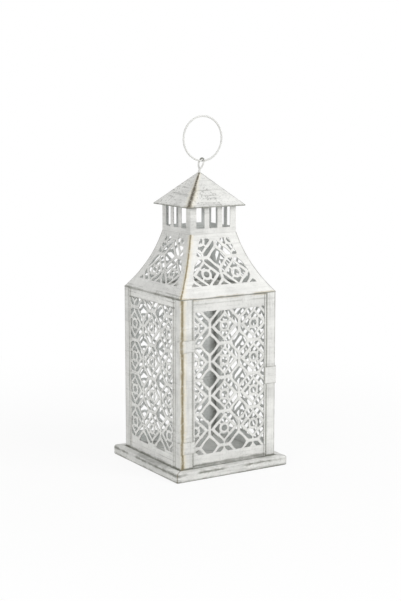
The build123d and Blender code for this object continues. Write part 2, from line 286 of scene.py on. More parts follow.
def fretwork_holes(window, lozenge, pitch):
    """Holes of the fretwork that lie inside a window, with a lozenge's middle at the point given."""
    right_slot = slot_outline(False)
    left_slot = slot_outline(True)
    at_lozenge = [lozenge_outline(), right_slot, left_slot, -right_slot, -left_slot]
    at_rosette = [round_outline(ROSETTE_EYE_SHARE, 18)] + quarter_copies(petal_outline())
    low, high = window.min(0), window.max(0)
    first = np.floor((low - lozenge) / pitch).astype(int)
    last = np.ceil((high - lozenge) / pitch).astype(int) + 1
    holes = []
    for column in range(first[0], last[0] + 1):
        for row in range(first[1], last[1] + 1):
            middle = lozenge + pitch * np.array([column, row])
            for shapes, offset in ((at_lozenge, 0), (at_rosette, -pitch / 2)):
                for shape in shapes:
                    hole = shape * pitch + middle + offset
                    if area_of(hole) < 0:
                        hole = hole[::-1]
                    if (hole.max(0) < low).any() or (hole.min(0) > high).any():
                        continue
                    part = clipped(hole, window)
                    if len(part) > 2 and abs(area_of(part)) > SMALLEST_OPENING:
                        holes.append(clean_outline(part, CLOSE_OUTLINE_POINTS))
    return holes


# Surfaces


def smooth_noise(x, y, seed, size):
    """Slow ripple between -1 and 1: a sum of sines whose directions and phases come from the seed."""
    draws = np.random.default_rng(seed)
    total = np.zeros(np.broadcast(x, y).shape)
    for octave in range(4):
        angle, phase = draws.uniform(0, 2 * math.pi, 2)
        scale = 2 * math.pi / size * (0.7 + 0.5 * octave)
        total = total + np.sin(scale * (x * math.cos(angle) + y * math.sin(angle)) + phase) / (1 + octave)
    return total / 2


def moved_left(points, distance):
    """Moves a closed outline's points to the left of its way by distance, along the corners' mitres."""
    ahead = np.roll(points, -1, 0) - points
    ahead /= np.linalg.norm(ahead, axis=1, keepdims=True)
    normal = np.stack([-ahead[:, 1], ahead[:, 0]], 1)
    before = np.roll(normal, 1, 0)
    spread = np.clip(1 + np.sum(normal * before, 1, keepdims=True), SHARPEST_MITRE, None)
    return points + distance * (normal + before) / spread


def inside(points, outline):
    """Which points lie in a closed outline, by counting the sides that a ray from each one crosses."""
    x, y = points[:, 0:1], points[:, 1:2]
    ax, ay = outline[:, 0], outline[:, 1]
    bx, by = np.roll(ax, -1), np.roll(ay, -1)
    level = (ay > y) != (by > y)
    with np.errstate(divide="ignore", invalid="ignore"):
        cross = x < (bx - ax) * (y - ay) / (by - ay) + ax
    return np.sum(level & cross, 1) % 2 == 1


class Pieces:
    """Collects vertices, faces, edge marks and inner-face marks of the surfaces that make up one mesh."""

    def __init__(self):
        self.points = []
        self.faces = []
        self.marks = []
        self.inner = []
        self.count = 0

    def take(self, points, faces, marks=None, inner=None):
        """Adds one surface; marks tell how near a cut edge a vertex is, inner how far inside, from 0 to 1."""
        points = np.asarray(points, float).reshape(-1, 3)
        self.points.append(points)
        self.faces += [tuple(int(i) + self.count for i in face) for face in faces]
        self.marks.append(np.zeros(len(points)) if marks is None else np.asarray(marks, float))
        self.inner.append(np.zeros(len(points)) if inner is None else np.asarray(inner, float))
        self.count += len(points)


def grid_faces(rows, columns, closed_rows=False, closed_columns=False):
    """Quads of a grid of vertices, row after row; a closed way joins its last line to its first."""
    r = np.arange(rows if closed_rows else rows - 1)
    c = np.arange(columns if closed_columns else columns - 1)
    r, c = np.meshgrid(r, c, indexing="ij")
    r2, c2 = (r + 1) % rows, (c + 1) % columns
    quads = np.stack([r * columns + c, r * columns + c2, r2 * columns + c2, r2 * columns + c], -1)
    return quads.reshape(-1, 4).tolist()


def tube_faces(stations, around):
    """Quads of an open tube and a cap on each of its ends."""
    faces = grid_faces(stations, around, False, True)
    faces.append(list(range(around))[::-1])
    faces.append(list(range((stations - 1) * around, stations * around)))
    return faces


def filling_points(loops, outer, spacing, edge_round):
    """Points on a grid between the outlines, clear of every edge."""
    steps = [np.arange(low, high, spacing) for low, high in zip(outer.min(0) + spacing / 2, outer.max(0))]
    extra = np.stack(np.meshgrid(*steps), -1).reshape(-1, 2)
    good = inside(extra, moved_left(loops[0], 3 * edge_round))
    for hole in loops[1:]:
        near = ((extra > hole.min(0) - spacing) & (extra < hole.max(0) + spacing)).all(1) & good
        if near.any():
            gap = np.linalg.norm(extra[near][:, None] - hole[None], axis=2).min(1)
            good[near] &= ~inside(extra[near], hole) & (gap > 0.35 * spacing)
    return extra[good]


def filled_plan(plan, counts):
    """Triangles over the points of a plan, whose first points are outlines of the given counts.

    The first outline is the sheet's own and the others are its holes, which stay open."""
    sides = []
    starts = np.concatenate([[0], np.cumsum(counts)])
    for start, count in zip(starts, counts):
        sides += [(start + i, start + (i + 1) % count) for i in range(count)]
    sides = [(int(a), int(b)) for a, b in sides]
    result = delaunay_2d_cdt([Vector(p) for p in plan / MM], sides, [], 1, 1e-5)
    source = [ids[0] if ids else -1 for ids in result[3]]
    if -1 in source:
        raise RuntimeError("outlines of a pierced sheet cross each other")
    triangles = np.array([[source[i] for i in face] for face in result[2]])
    middles = plan[triangles].mean(1)
    keep = np.ones(len(triangles), bool)
    for start, count in zip(starts[1:], counts[1:]):
        rim_line = plan[start:start + count]
        near = np.nonzero(((middles > rim_line.min(0)) & (middles < rim_line.max(0))).all(1))[0]
        keep[near] &= ~inside(middles[near], rim_line)
    return triangles[keep]


def wall_faces(counts, rows):
    """Quads between the rows of an edge profile, round each of the outlines in turn."""
    total = sum(counts)
    walls = []
    start = 0
    for count in counts:
        here = start + np.arange(count)
        there = start + (np.arange(count) + 1) % count
        for row in range(rows - 1):
            upper, lower = row * total, (row + 1) * total
            walls.append(np.stack([upper + here, lower + here, lower + there, upper + there], 1))
        start += count
    return np.concatenate(walls).tolist()


def sheet_with_holes(pieces, outer, holes, thickness, edge_round, place, spacing, rim_mark=0.0):
    """A sheet cut to an outline with holes, carried into place by a function of u, v and w.

    Each outline is an edge profile swept round it: flat face, quarter round, wall, quarter round, flat back.
    The two faces between the outlines are triangles, with points on a grid so that the sheet can bend and
    ripple."""
    loops = [outer if area_of(outer) > 0 else outer[::-1]]
    loops += [hole[::-1] if area_of(hole) > 0 else hole for hole in holes]
    loops = [clean_outline(divided(loop, spacing), CLOSE_OUTLINE_POINTS) for loop in loops]
    counts = [len(loop) for loop in loops]
    quarter = np.linspace(0, math.pi / 2, 3)
    insets = edge_round * (1 - np.sin(quarter))
    heights = thickness / 2 - edge_round * (1 - np.cos(quarter))
    insets = np.concatenate([insets, insets[::-1]])
    heights = np.concatenate([heights, -heights[::-1]])
    extra = filling_points(loops, outer, spacing, edge_round)
    flat = np.concatenate([moved_left(loop, edge_round) for loop in loops])
    triangles = filled_plan(np.concatenate([flat, extra]), counts)
    total, rows = len(flat), len(insets)
    rim = [np.concatenate([moved_left(loop, inset) for loop in loops]) for inset in insets]
    uv = np.concatenate(rim + [extra, extra])
    w = np.concatenate([
        np.repeat(heights, total),
        np.full(len(extra), thickness / 2),
        np.full(len(extra), -thickness / 2)])
    marks = np.zeros(len(uv))
    marks[:total] = rim_mark
    marks[total:(rows - 1) * total] = 1
    on_front = np.where(triangles < total, triangles, triangles + (rows - 1) * total)
    on_back = np.where(triangles < total, triangles, triangles + len(extra)) + (rows - 1) * total
    faces = on_front.tolist() + on_back[:, ::-1].tolist() + wall_faces(counts, rows)
    inner = np.clip(0.5 - w / (thickness - 2 * edge_round), 0, 1)
    pieces.take(place(uv[:, 0], uv[:, 1], w), faces, marks, inner)


def carried(pieces, profile, origins, across, along, closed=False, marks=None, inner=None):
    """A closed profile carried along a path: point = origin + x * across + y * along, at each station.

    across x along points the way that the path runs, and the profile is anticlockwise in them."""
    profile = np.asarray(profile, float)
    grid = origins[:, None] + profile[..., 0:1] * across[:, None] + profile[..., 1:2] * along[:, None]
    stations, around = grid.shape[:2]
    faces = grid_faces(stations, around, True, True) if closed else tube_faces(stations, around)
    pieces.take(grid, faces, marks, inner)


def ridged_along_z(pieces, profile, low, high, steps, seed, wave, marks, inner):
    """A plan profile carried straight up from low to high, straying a little from straight."""
    z = np.linspace(low, high, steps)
    ease = np.sin(math.pi * np.linspace(0, 1, steps)) ** 0.5
    stray_x = wave * ease * smooth_noise(z, 0 * z, seed, POST_RIPPLE_SIZE)
    stray_y = wave * ease * smooth_noise(z, 0 * z, seed + 1, POST_RIPPLE_SIZE)
    origins = np.stack([stray_x, stray_y, z], 1)
    level = np.repeat([[1.0, 0, 0]], steps, 0)
    carried(pieces, profile, origins, level, np.roll(level, 1, 1), False, np.tile(marks, steps),
            np.tile(inner, steps))


def revolved(pieces, profile, middle, steps=28):
    """A closed profile of radius and height turned round a vertical axis through a point."""
    angles = np.arange(steps) * 2 * math.pi / steps
    radial = np.stack([np.cos(angles), np.sin(angles), 0 * angles], 1)
    upright = np.repeat([[0, 0, 1.0]], steps, 0)
    origins = np.repeat([list(middle) + [0.0]], steps, 0)
    profile = profile if area_of(profile) < 0 else profile[::-1]
    carried(pieces, profile, origins, radial, upright, closed=True)


def square_rings(halves, corners, heights, per_side, per_corner):
    """Rounded squares, one for each half width, corner radius and height, all with as many points."""
    halves, corners, heights = (np.asarray(a, float)[:, None] for a in (halves, corners, heights))
    corners = np.minimum(corners, halves * 0.98)
    turn = np.linspace(0, math.pi / 2, per_corner + 1)[None]
    arc_x = halves - corners + corners * np.cos(turn)
    arc_y = halves - corners + corners * np.sin(turn)
    share = (np.arange(1, per_side) / per_side)[None]
    side_x = (halves - corners) * (1 - 2 * share)
    side_y = np.repeat(halves, per_side - 1, 1)
    x = np.concatenate([arc_x, side_x], 1)
    y = np.concatenate([arc_y, side_y], 1)
    quarters = [(x, y), (-y, x), (-x, -y), (y, -x)]
    ring_x = np.concatenate([quarter[0] for quarter in quarters], 1)
    ring_y = np.concatenate([quarter[1] for quarter in quarters], 1)
    return np.stack([ring_x, ring_y, np.repeat(heights, ring_x.shape[1], 1)], -1)


SIDES = {"front": 0, "right": 1, "back": 2, "left": 3}


def quarter_turned(points, turns):
    """Points turned about the lantern's axis by whole quarters."""
    c, s = ((1, 0), (0, 1), (-1, 0), (0, -1))[turns % 4]
    x, y, z = np.moveaxis(points, -1, 0)
    return np.stack([c * x - s * y, s * x + c * y, z], -1)


def flat_side(side, face):
    """Place function of a flat sheet on a side: u to the right of a person who faces it, v up, w outwards."""
    def place(u, v, w):
        return quarter_turned(np.stack([u, -(face + w), v], -1), SIDES[side])
    return place


def bent_strip(path, bend_radius, steps=10):
    """Place function of a sheet that follows a plan path with rounded corners, and the path's length.

    u runs along the path, v up and w to the path's right."""
    path = np.asarray(path, float)
    line = [path[0]]
    for before, corner, after in zip(path[:-2], path[1:-1], path[2:]):
        a = corner + (before - corner) / np.linalg.norm(before - corner) * bend_radius
        b = corner + (after - corner) / np.linalg.norm(after - corner) * bend_radius
        middle = a + b - corner
        t = np.linspace(0, math.pi / 2, steps + 1)[:, None]
        line += list(middle + (a - middle) * np.cos(t) + (b - middle) * np.sin(t))
    line = np.array(line + [path[-1]])
    way = np.diff(line, axis=0)
    runs = np.concatenate([[0], np.cumsum(np.linalg.norm(way, axis=1))])
    tangent = np.gradient(line, runs, axis=0)

    def place(u, v, w):
        x, y = (np.interp(u, runs, line[:, k]) for k in (0, 1))
        tx, ty = (np.interp(u, runs, tangent[:, k]) for k in (0, 1))
        size = np.hypot(tx, ty)
        return np.stack([x + w * ty / size, y - w * tx / size, v], -1)
    return place, float(runs[-1])


def smooth_path(points, steps):
    """A smooth line through points: between two, the cubic that has their neighbours' chords as slopes."""
    points = np.asarray(points, float)
    padded = np.concatenate([[2 * points[0] - points[1]], points, [2 * points[-1] - points[-2]]])
    t = np.linspace(0, len(points) - 1, steps)
    i = np.minimum(t.astype(int), len(points) - 2)
    f = (t - i)[:, None]
    a, b, c, d = (padded[i + k] for k in range(4))
    square, cube = 2 * a - 5 * b + 4 * c - d, 3 * b - a - 3 * c + d
    return 0.5 * (2 * b + (c - a) * f + square * f ** 2 + cube * f ** 3)


# Finishes

# How often each noise repeats in a metre; three numbers stretch it along x, y and z
PATCH_SCALE = 38.0
FINE_STREAK_STRETCH = (26.0, 26.0, 520.0)
BROAD_STREAK_STRETCH = (11.0, 11.0, 210.0)
UPRIGHT_STREAK_STRETCH = (420.0, 420.0, 16.0)
SPECK_SCALE = 470.0
SLOW_WEAR_SCALE = 90.0
FAST_WEAR_SCALE = 420.0
LINE_WAVE_SCALE = 170.0
LINE_PATCH_SCALE = 48.0
BLOTCH_SCALE = 55.0
GRAIN_SCALE = 1300.0

# Runs of masks: from the first value to the second, a mask goes from the third to the fourth
PATCH_RUN = (0.36, 0.62, 0.3, 1.0)
FINE_STREAK_RUN = (0.53, 0.66, 0.0, 1.0)
BROAD_STREAK_RUN = (0.53, 0.70, 0.0, 0.6)
UPRIGHT_STREAK_RUN = (0.50, 0.66, 0.0, 1.0)
SPECK_RUN = (0.54, 0.66, 0.0, 1.0)
WEAR_FLARE_RUN = (0.0, 36.0 * MM, 0.45, 1.35)
WEAR_WIDTH_RUN = (0.3, 0.7, 0.8, 1.25)
CORE_CHIP_RUN = (0.30, 0.50, 0.55, 1.0)
HALO_CHIP_RUN = (0.3, 0.62, 0.35, 1.0)
FOLD_LINE_RUN = (0.3 * MM, 1.7 * MM, 0.0, 1.0)
FOLD_CHIP_RUN = (0.3, 0.6, 0.35, 0.9)
LINE_WIDTH_RUN = (0.3, 0.7, 0.55, 1.35)
LINE_BARE_RUN = (0.42, 0.62, 0.0, 1.0)
BLOTCH_RUN = (0.34, 0.66, 0.0, 1.0)
GRAIN_RUN = (0.45, 0.75, 0.0, 0.16)

# How a worn corner is built up, as shares of its width and of its offset
CORE_KEEN_SHARE = 0.15
HALO_SHIFT_SHARE = 1.35

# How far the inside's colour, painted shade of the lantern's interior, covers the paint on inner faces, and
# what some marks' colours are multiplied by
INSIDE_SHADE_SHARE = 0.85
UPRIGHT_TONE = 1.25
SPECK_TONE = 0.8
# The rim tone darkens cut edges: dirt on the edges and painted shade on the walls of the holes
RIM_GRIME_AND_SHADE_TONE = 1.2

# Roughness of paint, what bare metal takes off it, and the relief of streaks and grain
PAINT_ROUGHNESS = 0.62
METAL_SHINE = 0.16
RELIEF_DEPTH = 0.2 * MM
STREAK_RELIEF_SHARE = 0.6
GRAIN_RELIEF_SHARE = 0.35


def socket(group, name, kind, direction, default=None):
    """Adds one named socket to a node group."""
    item = group.interface.new_socket(name=name, in_out=direction, socket_type=kind)
    if default is not None:
        item.default_value = default


class Shader:
    """Short way to add and join the nodes of one tree."""

    def __init__(self, tree):
        self.tree = tree

    def put(self, value, target):
        """Joins a socket to an input, or sets the input to a value."""
        if isinstance(value, bpy.types.NodeSocket):
            self.tree.links.new(value, target)
        else:
            target.default_value = value

    def node(self, kind, settings=None, **inputs):
        """Adds a node, sets its settings, and joins or sets its inputs by name or number."""
        node = self.tree.nodes.new(kind)
        for name, value in (settings or {}).items():
            setattr(node, name, value)
        for name, value in inputs.items():
            key = int(name[1:]) if name[0] == "n" and name[1:].isdigit() else name.replace("_", " ")
            self.put(value, node.inputs[key])
        return node

    def math(self, operation, a, b=0.0, clamp=False):
        """One sum."""
        kind = {"operation": operation, "use_clamp": clamp}
        return self.node("ShaderNodeMath", kind, n0=a, n1=b).outputs[0]

    def times(self, a, b, clamp=False):
        """One product."""
        return self.math("MULTIPLY", a, b, clamp)

    def rest(self, value):
        """What a share leaves of one."""
        return self.math("SUBTRACT", 1.0, value)

    def ramp(self, value, low, high, to_low=0.0, to_high=1.0):
        """Maps a value from one range to another with eased ends."""
        node = self.node("ShaderNodeMapRange", {"interpolation_type": "SMOOTHSTEP"}, Value=value)
        for name, number in (("From Min", low), ("From Max", high), ("To Min", to_low), ("To Max", to_high)):
            self.put(number, node.inputs[name])
        return node.outputs[0]

    def mix(self, share, a, b):
        """Blends two colours."""
        node = self.node("ShaderNodeMix", {"data_type": "RGBA"})
        for index, value in ((0, share), (6, a), (7, b)):
            self.put(value, node.inputs[index])
        return node.outputs[2]

    def noise(self, vector, scale, detail=3.0, rough=0.55):
        """Noise between about 0.25 and 0.75."""
        return self.node("ShaderNodeTexNoise", None, Vector=vector, Scale=scale, Detail=detail,
                         Roughness=rough).outputs[0]

    def hand_out(self, out, **values):
        """Joins values to a node group's output node by name."""
        for name, value in values.items():
            self.tree.links.new(value, out.inputs[name])


def new_group(name, inputs, outputs):
    """Starts a node group with named sockets; returns its shader helper, input node and output node."""
    group = bpy.data.node_groups.new(name, "ShaderNodeTree")
    kinds = {"v": "NodeSocketVector", "f": "NodeSocketFloat", "c": "NodeSocketColor"}
    for label, kind, default in inputs:
        socket(group, label, kinds[kind], "INPUT", default)
    for label, kind in outputs:
        socket(group, label, kinds[kind], "OUTPUT")
    return Shader(group), group.nodes.new("NodeGroupInput"), group.nodes.new("NodeGroupOutput")


def brush_streak_group():
    """Streaks and specks in patches, where a dry brush left the grey undercoat showing."""
    s, into, out = new_group(
        "brush_streaks",
        [("Position", "v", None), ("Fineness", "f", 1.0)],
        [("Level", "f"), ("Upright", "f"), ("Specks", "f"), ("Height", "f")])
    place, fineness = into.outputs["Position"], into.outputs["Fineness"]

    def drawn_out(stretch, detail):
        spread = s.node("ShaderNodeMapping", {"vector_type": "POINT"}, Vector=place, Scale=stretch).outputs[0]
        return s.noise(spread, fineness, detail, 0.6)

    patch = s.ramp(s.noise(place, PATCH_SCALE, 2.0, 0.5), *PATCH_RUN)
    fine = drawn_out(FINE_STREAK_STRETCH, 3.0)
    broad = drawn_out(BROAD_STREAK_STRETCH, 2.0)
    level = s.math("MAXIMUM", s.ramp(fine, *FINE_STREAK_RUN), s.ramp(broad, *BROAD_STREAK_RUN))
    upright = s.ramp(drawn_out(UPRIGHT_STREAK_STRETCH, 2.0), *UPRIGHT_STREAK_RUN)
    specks = s.ramp(s.noise(place, SPECK_SCALE, 2.0, 0.6), *SPECK_RUN)
    s.hand_out(out, Level=s.times(level, patch, True), Upright=s.times(upright, patch, True),
               Specks=s.times(specks, patch, True), Height=s.times(fine, -1.0))
    return s.tree


def corner_wear_and_shade_group():
    """Masks of paint rubbed off beside the folds, and of painted shade in the inner corners.

    The doorway's hinge corner and the one across from it lie where x = y. Core and Halo are bands at an
    offset from there, and Flare makes them grow with the distance from the lantern's axis. Line is thin and
    follows the other two corners."""
    s, into, out = new_group(
        "corner_wear",
        [("Position", "v", None), ("Core Width", "f", 1.1 * MM), ("Halo Width", "f", 6.0 * MM),
         ("Offset", "f", 0.0), ("Flare", "f", 0.0)],
        [("Core", "f"), ("Halo", "f"), ("Line", "f")])
    place, offset, flare = (into.outputs[name] for name in ("Position", "Offset", "Flare"))
    parts = s.node("ShaderNodeSeparateXYZ", None, n0=place)
    x, y = parts.outputs[0], parts.outputs[1]
    reach = s.math("MAXIMUM", s.math("ABSOLUTE", x), s.math("ABSOLUTE", y))
    grown = s.ramp(reach, *WEAR_FLARE_RUN)
    spread = s.math("ADD", s.times(grown, flare), s.rest(flare))
    slow = s.noise(place, SLOW_WEAR_SCALE, 3.0, 0.6)
    fast = s.noise(place, FAST_WEAR_SCALE, 3.0, 0.6)
    drift = s.times(s.ramp(slow, *WEAR_WIDTH_RUN), spread)
    across = s.math("SUBTRACT", x, y)
    core_width = s.times(into.outputs["Core Width"], drift)
    core_gap = s.math("ABSOLUTE", s.math("SUBTRACT", across, offset))
    core = s.rest(s.ramp(core_gap, s.times(core_width, CORE_KEEN_SHARE), core_width))
    halo_gap = s.math("ABSOLUTE", s.math("SUBTRACT", across, s.times(offset, HALO_SHIFT_SHARE)))
    halo = s.rest(s.ramp(halo_gap, 0.0, s.times(into.outputs["Halo Width"], drift)))
    line = s.rest(s.ramp(s.math("ABSOLUTE", s.math("ADD", x, y)), *FOLD_LINE_RUN))
    s.hand_out(out, Core=s.times(core, s.ramp(fast, *CORE_CHIP_RUN), True),
               Halo=s.times(halo, s.ramp(fast, *HALO_CHIP_RUN), True),
               Line=s.times(line, s.ramp(slow, *FOLD_CHIP_RUN), True))
    return s.tree


def grime_and_shade_line_group():
    """Dirt and painted shade in an uneven line where a coordinate of the lantern is near a level.

    The coordinate is the height where Outward is 0, and the larger of |x| and |y| where it is 1."""
    s, into, out = new_group(
        "grime_line",
        [("Position", "v", None), ("Level", "f", 11.0 * MM), ("Spread", "f", 2.0 * MM), ("Outward", "f", 0.0),
         ("Patchy", "f", 0.5)],
        [("Mask", "f")])
    place, outward = into.outputs["Position"], into.outputs["Outward"]
    parts = s.node("ShaderNodeSeparateXYZ", None, n0=place)
    reach = s.math("MAXIMUM", *[s.math("ABSOLUTE", parts.outputs[i]) for i in (0, 1)])
    value = s.math("ADD", s.times(reach, outward), s.times(parts.outputs[2], s.rest(outward)))
    gap = s.math("ABSOLUTE", s.math("SUBTRACT", value, into.outputs["Level"]))
    uneven = s.ramp(s.noise(place, LINE_WAVE_SCALE, 3.0, 0.6), *LINE_WIDTH_RUN)
    line = s.rest(s.ramp(gap, 0.0, s.times(into.outputs["Spread"], uneven)))
    bare = s.ramp(s.noise(place, LINE_PATCH_SCALE, 2.0, 0.5), *LINE_BARE_RUN)
    patch = s.rest(s.times(into.outputs["Patchy"], bare))
    s.hand_out(out, Mask=s.times(line, patch, True))
    return s.tree


def mottle_group():
    """Soft blotches and a fine grain in the paint."""
    s, into, out = new_group("paint_mottle", [("Position", "v", None)], [("Blotch", "f"), ("Grain", "f")])
    place = into.outputs["Position"]
    s.hand_out(out, Blotch=s.noise(place, BLOTCH_SCALE, 4.0, 0.6),
               Grain=s.noise(place, GRAIN_SCALE, 2.0, 0.6))
    return s.tree


class GrimeAndShadeLine(NamedTuple):
    """A dark line at a height, or at a distance from the axis where outward is 1: dirt in a seam, and painted
    shade where it lies along an overhanging edge.
    """

    level: float
    spread: float
    strength: float
    patchy: float
    outward: float = 0.0
    tan: bool = False


def colour(rgb, factor=1.0):
    """A colour for a node, lightened or darkened by a factor."""
    return (*[channel * factor for channel in rgb], 1.0)


def whitewash(name, groups, finish, level=0.5, upright=0.0, specks=0.2, fineness=1.0, core=1.1 * MM,
              halo=6.0 * MM, offset=0.0, flare=0.0, wear=1.0, halo_strength=0.5, fold_line=0.0, lines=(),
              rim=0.35, tint=1.0, blotch=0.10, core_tone=1.0, corner_shade=0.0, relief=0.22):
    """Rubbed whitewash over tinned sheet: paint, blotches, streaks, rims, lines of dirt, rubbed corners, and
    painted shade on inner faces, cut edges, seams and inner corners.
    """
    material = bpy.data.materials.new(name)
    material.use_nodes = True
    tree = material.node_tree
    tree.nodes.clear()
    s = Shader(tree)
    place = s.node("ShaderNodeTexCoord").outputs["Object"]

    def use(group, **inputs):
        return s.node("ShaderNodeGroup", {"node_tree": groups[group]}, Position=place, **inputs).outputs

    def attribute(label):
        return s.node("ShaderNodeAttribute", {"attribute_name": label}).outputs["Fac"]

    def laid(under, mask, strength, over):
        return s.mix(s.times(mask, strength), under, over) if strength else under

    mottled = use("paint_mottle")
    brushed = use("brush_streaks", Fineness=fineness)
    wear_and_shade = use("corner_wear", Core_Width=core, Halo_Width=halo, Offset=offset, Flare=flare)
    inner = attribute("inner_face")
    outer = s.rest(inner)
    cut_edge = s.times(attribute("cut_edge"), s.ramp(mottled["Grain"], 0.4, 0.6, rim * 0.5, rim))
    base = s.mix(s.ramp(mottled["Blotch"], *BLOTCH_RUN), colour(finish.whitewash, tint),
                 colour(finish.whitewash, tint * (1 - blotch)))
    # Painted shade inside: inner faces take the bluish grey of the inside colour
    base = laid(base, inner, INSIDE_SHADE_SHARE, colour(finish.inside))
    # Painted shade: inner faces darken beside the hinge corner and the corner across from it
    base = laid(base, s.times(wear_and_shade["Halo"], inner), corner_shade, colour(finish.grime_and_shade))
    base = s.mix(s.ramp(mottled["Grain"], *GRAIN_RUN), base, colour(finish.streak))
    base = laid(base, brushed["Upright"], upright, colour(finish.streak, UPRIGHT_TONE))
    base = laid(base, brushed["Level"], level, colour(finish.streak))
    base = laid(base, brushed["Specks"], specks, colour(finish.streak, SPECK_TONE))
    # Cut edges take the dark rim tone: dirt on the edges and painted shade on the hole walls and flange edges
    base = s.mix(cut_edge, base, colour(finish.grime_and_shade, RIM_GRIME_AND_SHADE_TONE))
    base = laid(base, s.times(wear_and_shade["Halo"], outer), halo_strength, colour(finish.worn_halo))
    base = laid(base, s.times(wear_and_shade["Line"], outer), fold_line, colour(finish.grime_and_shade))
    # Dark lines along seams and edges: dirt, and painted shade where a line lies along an overhanging edge
    for mark in lines:
        mask = use("grime_line", Level=mark.level, Spread=mark.spread, Outward=mark.outward,
                   Patchy=mark.patchy)["Mask"]
        tone = finish.seam_tan if mark.tan else finish.grime_and_shade
        base = laid(base, s.times(mask, outer), mark.strength, colour(tone))
    base = laid(base, s.times(wear_and_shade["Core"], outer), wear, colour(finish.worn_edge, core_tone))
    rough = s.math("SUBTRACT", PAINT_ROUGHNESS, s.times(wear_and_shade["Core"], METAL_SHINE))
    height = s.math("ADD", s.times(brushed["Height"], STREAK_RELIEF_SHARE),
                    s.times(mottled["Grain"], GRAIN_RELIEF_SHARE))
    bump = s.node("ShaderNodeBump", None, Strength=relief, Distance=RELIEF_DEPTH, Height=height)
    shader = s.node("ShaderNodeBsdfPrincipled", None, Base_Color=base, Roughness=rough,
                    Normal=bump.outputs[0])
    s.node("ShaderNodeOutputMaterial", None, Surface=shader.outputs[0])


# Objects


def settings(context):
    """Sizes and finish of the scene."""
    return context.scene.lantern_sizes, context.scene.lantern_finish


def finish_named(name):
    """A finish that the finishes operator has made."""
    found = bpy.data.materials.get(name)
    if found is None:
        raise RuntimeError(f"finish {name} is missing: make the finishes first")
    return found


def build(name, pieces, finish, body, replaced, sharp=38.0):
    """Makes one object from collected surfaces, with its finish, body, slot and the nodes it stands for."""
    mesh = bpy.data.meshes.new(name)
    points = np.concatenate(pieces.points)
    mesh.from_pydata(points.tolist(), [], pieces.faces)
    mesh.polygons.foreach_set("use_smooth", np.ones(len(mesh.polygons), bool))
    for label, values in (("cut_edge", pieces.marks), ("inner_face", pieces.inner)):
        attribute = mesh.attributes.new(label, "FLOAT", "POINT")
        attribute.data.foreach_set("value", np.concatenate(values).astype(np.float32))
    mesh.update()
    mesh.set_sharp_from_angle(angle=math.radians(sharp))
    if mesh.validate():
        raise RuntimeError(f"{name} has faces that Blender drops")
    piece = bpy.data.objects.new(name, mesh)
    bpy.context.scene.collection.objects.link(piece)
    piece.data.materials.append(finish_named(finish))
    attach(piece, body)
    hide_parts(*replaced)


def dress(nodes, finish):
    """Gives carried-over nodes a finish."""
    for node in nodes:
        mesh = frame["nodes"][node].data
        mesh.materials.clear()
        mesh.materials.append(finish_named(finish))


# Places of the lines of dirt and painted shade, each measured from the seam or edge that it lies beside

SEAM_GAP = 0.3 * MM
LOW_RAIL_LINE = 6.5 * MM
TOP_RAIL_LINE = 4.2 * MM
# TOP_RAIL_EDGE is where the painted shadow under the panels' top rail falls, along the top of the window
TOP_RAIL_EDGE = 9.6 * MM
DOOR_TOP_EDGE = 1.4 * MM
DOOR_RAIL_LINE = 6.0 * MM
DOOR_LOW_EDGE = 2.2 * MM
HOOD_SEAM_GAP = 0.2 * MM
HOOD_LINE = 3.0 * MM
FOOT_SEAM_GAP = 0.6 * MM
FOOT_TOP_BEND = 2.2 * MM
FOOT_LOW_BEND = 0.6 * MM
EAVE_LINE = 0.4 * MM
EYE_TOP_GRIME_AND_SHADE = 1.6 * MM


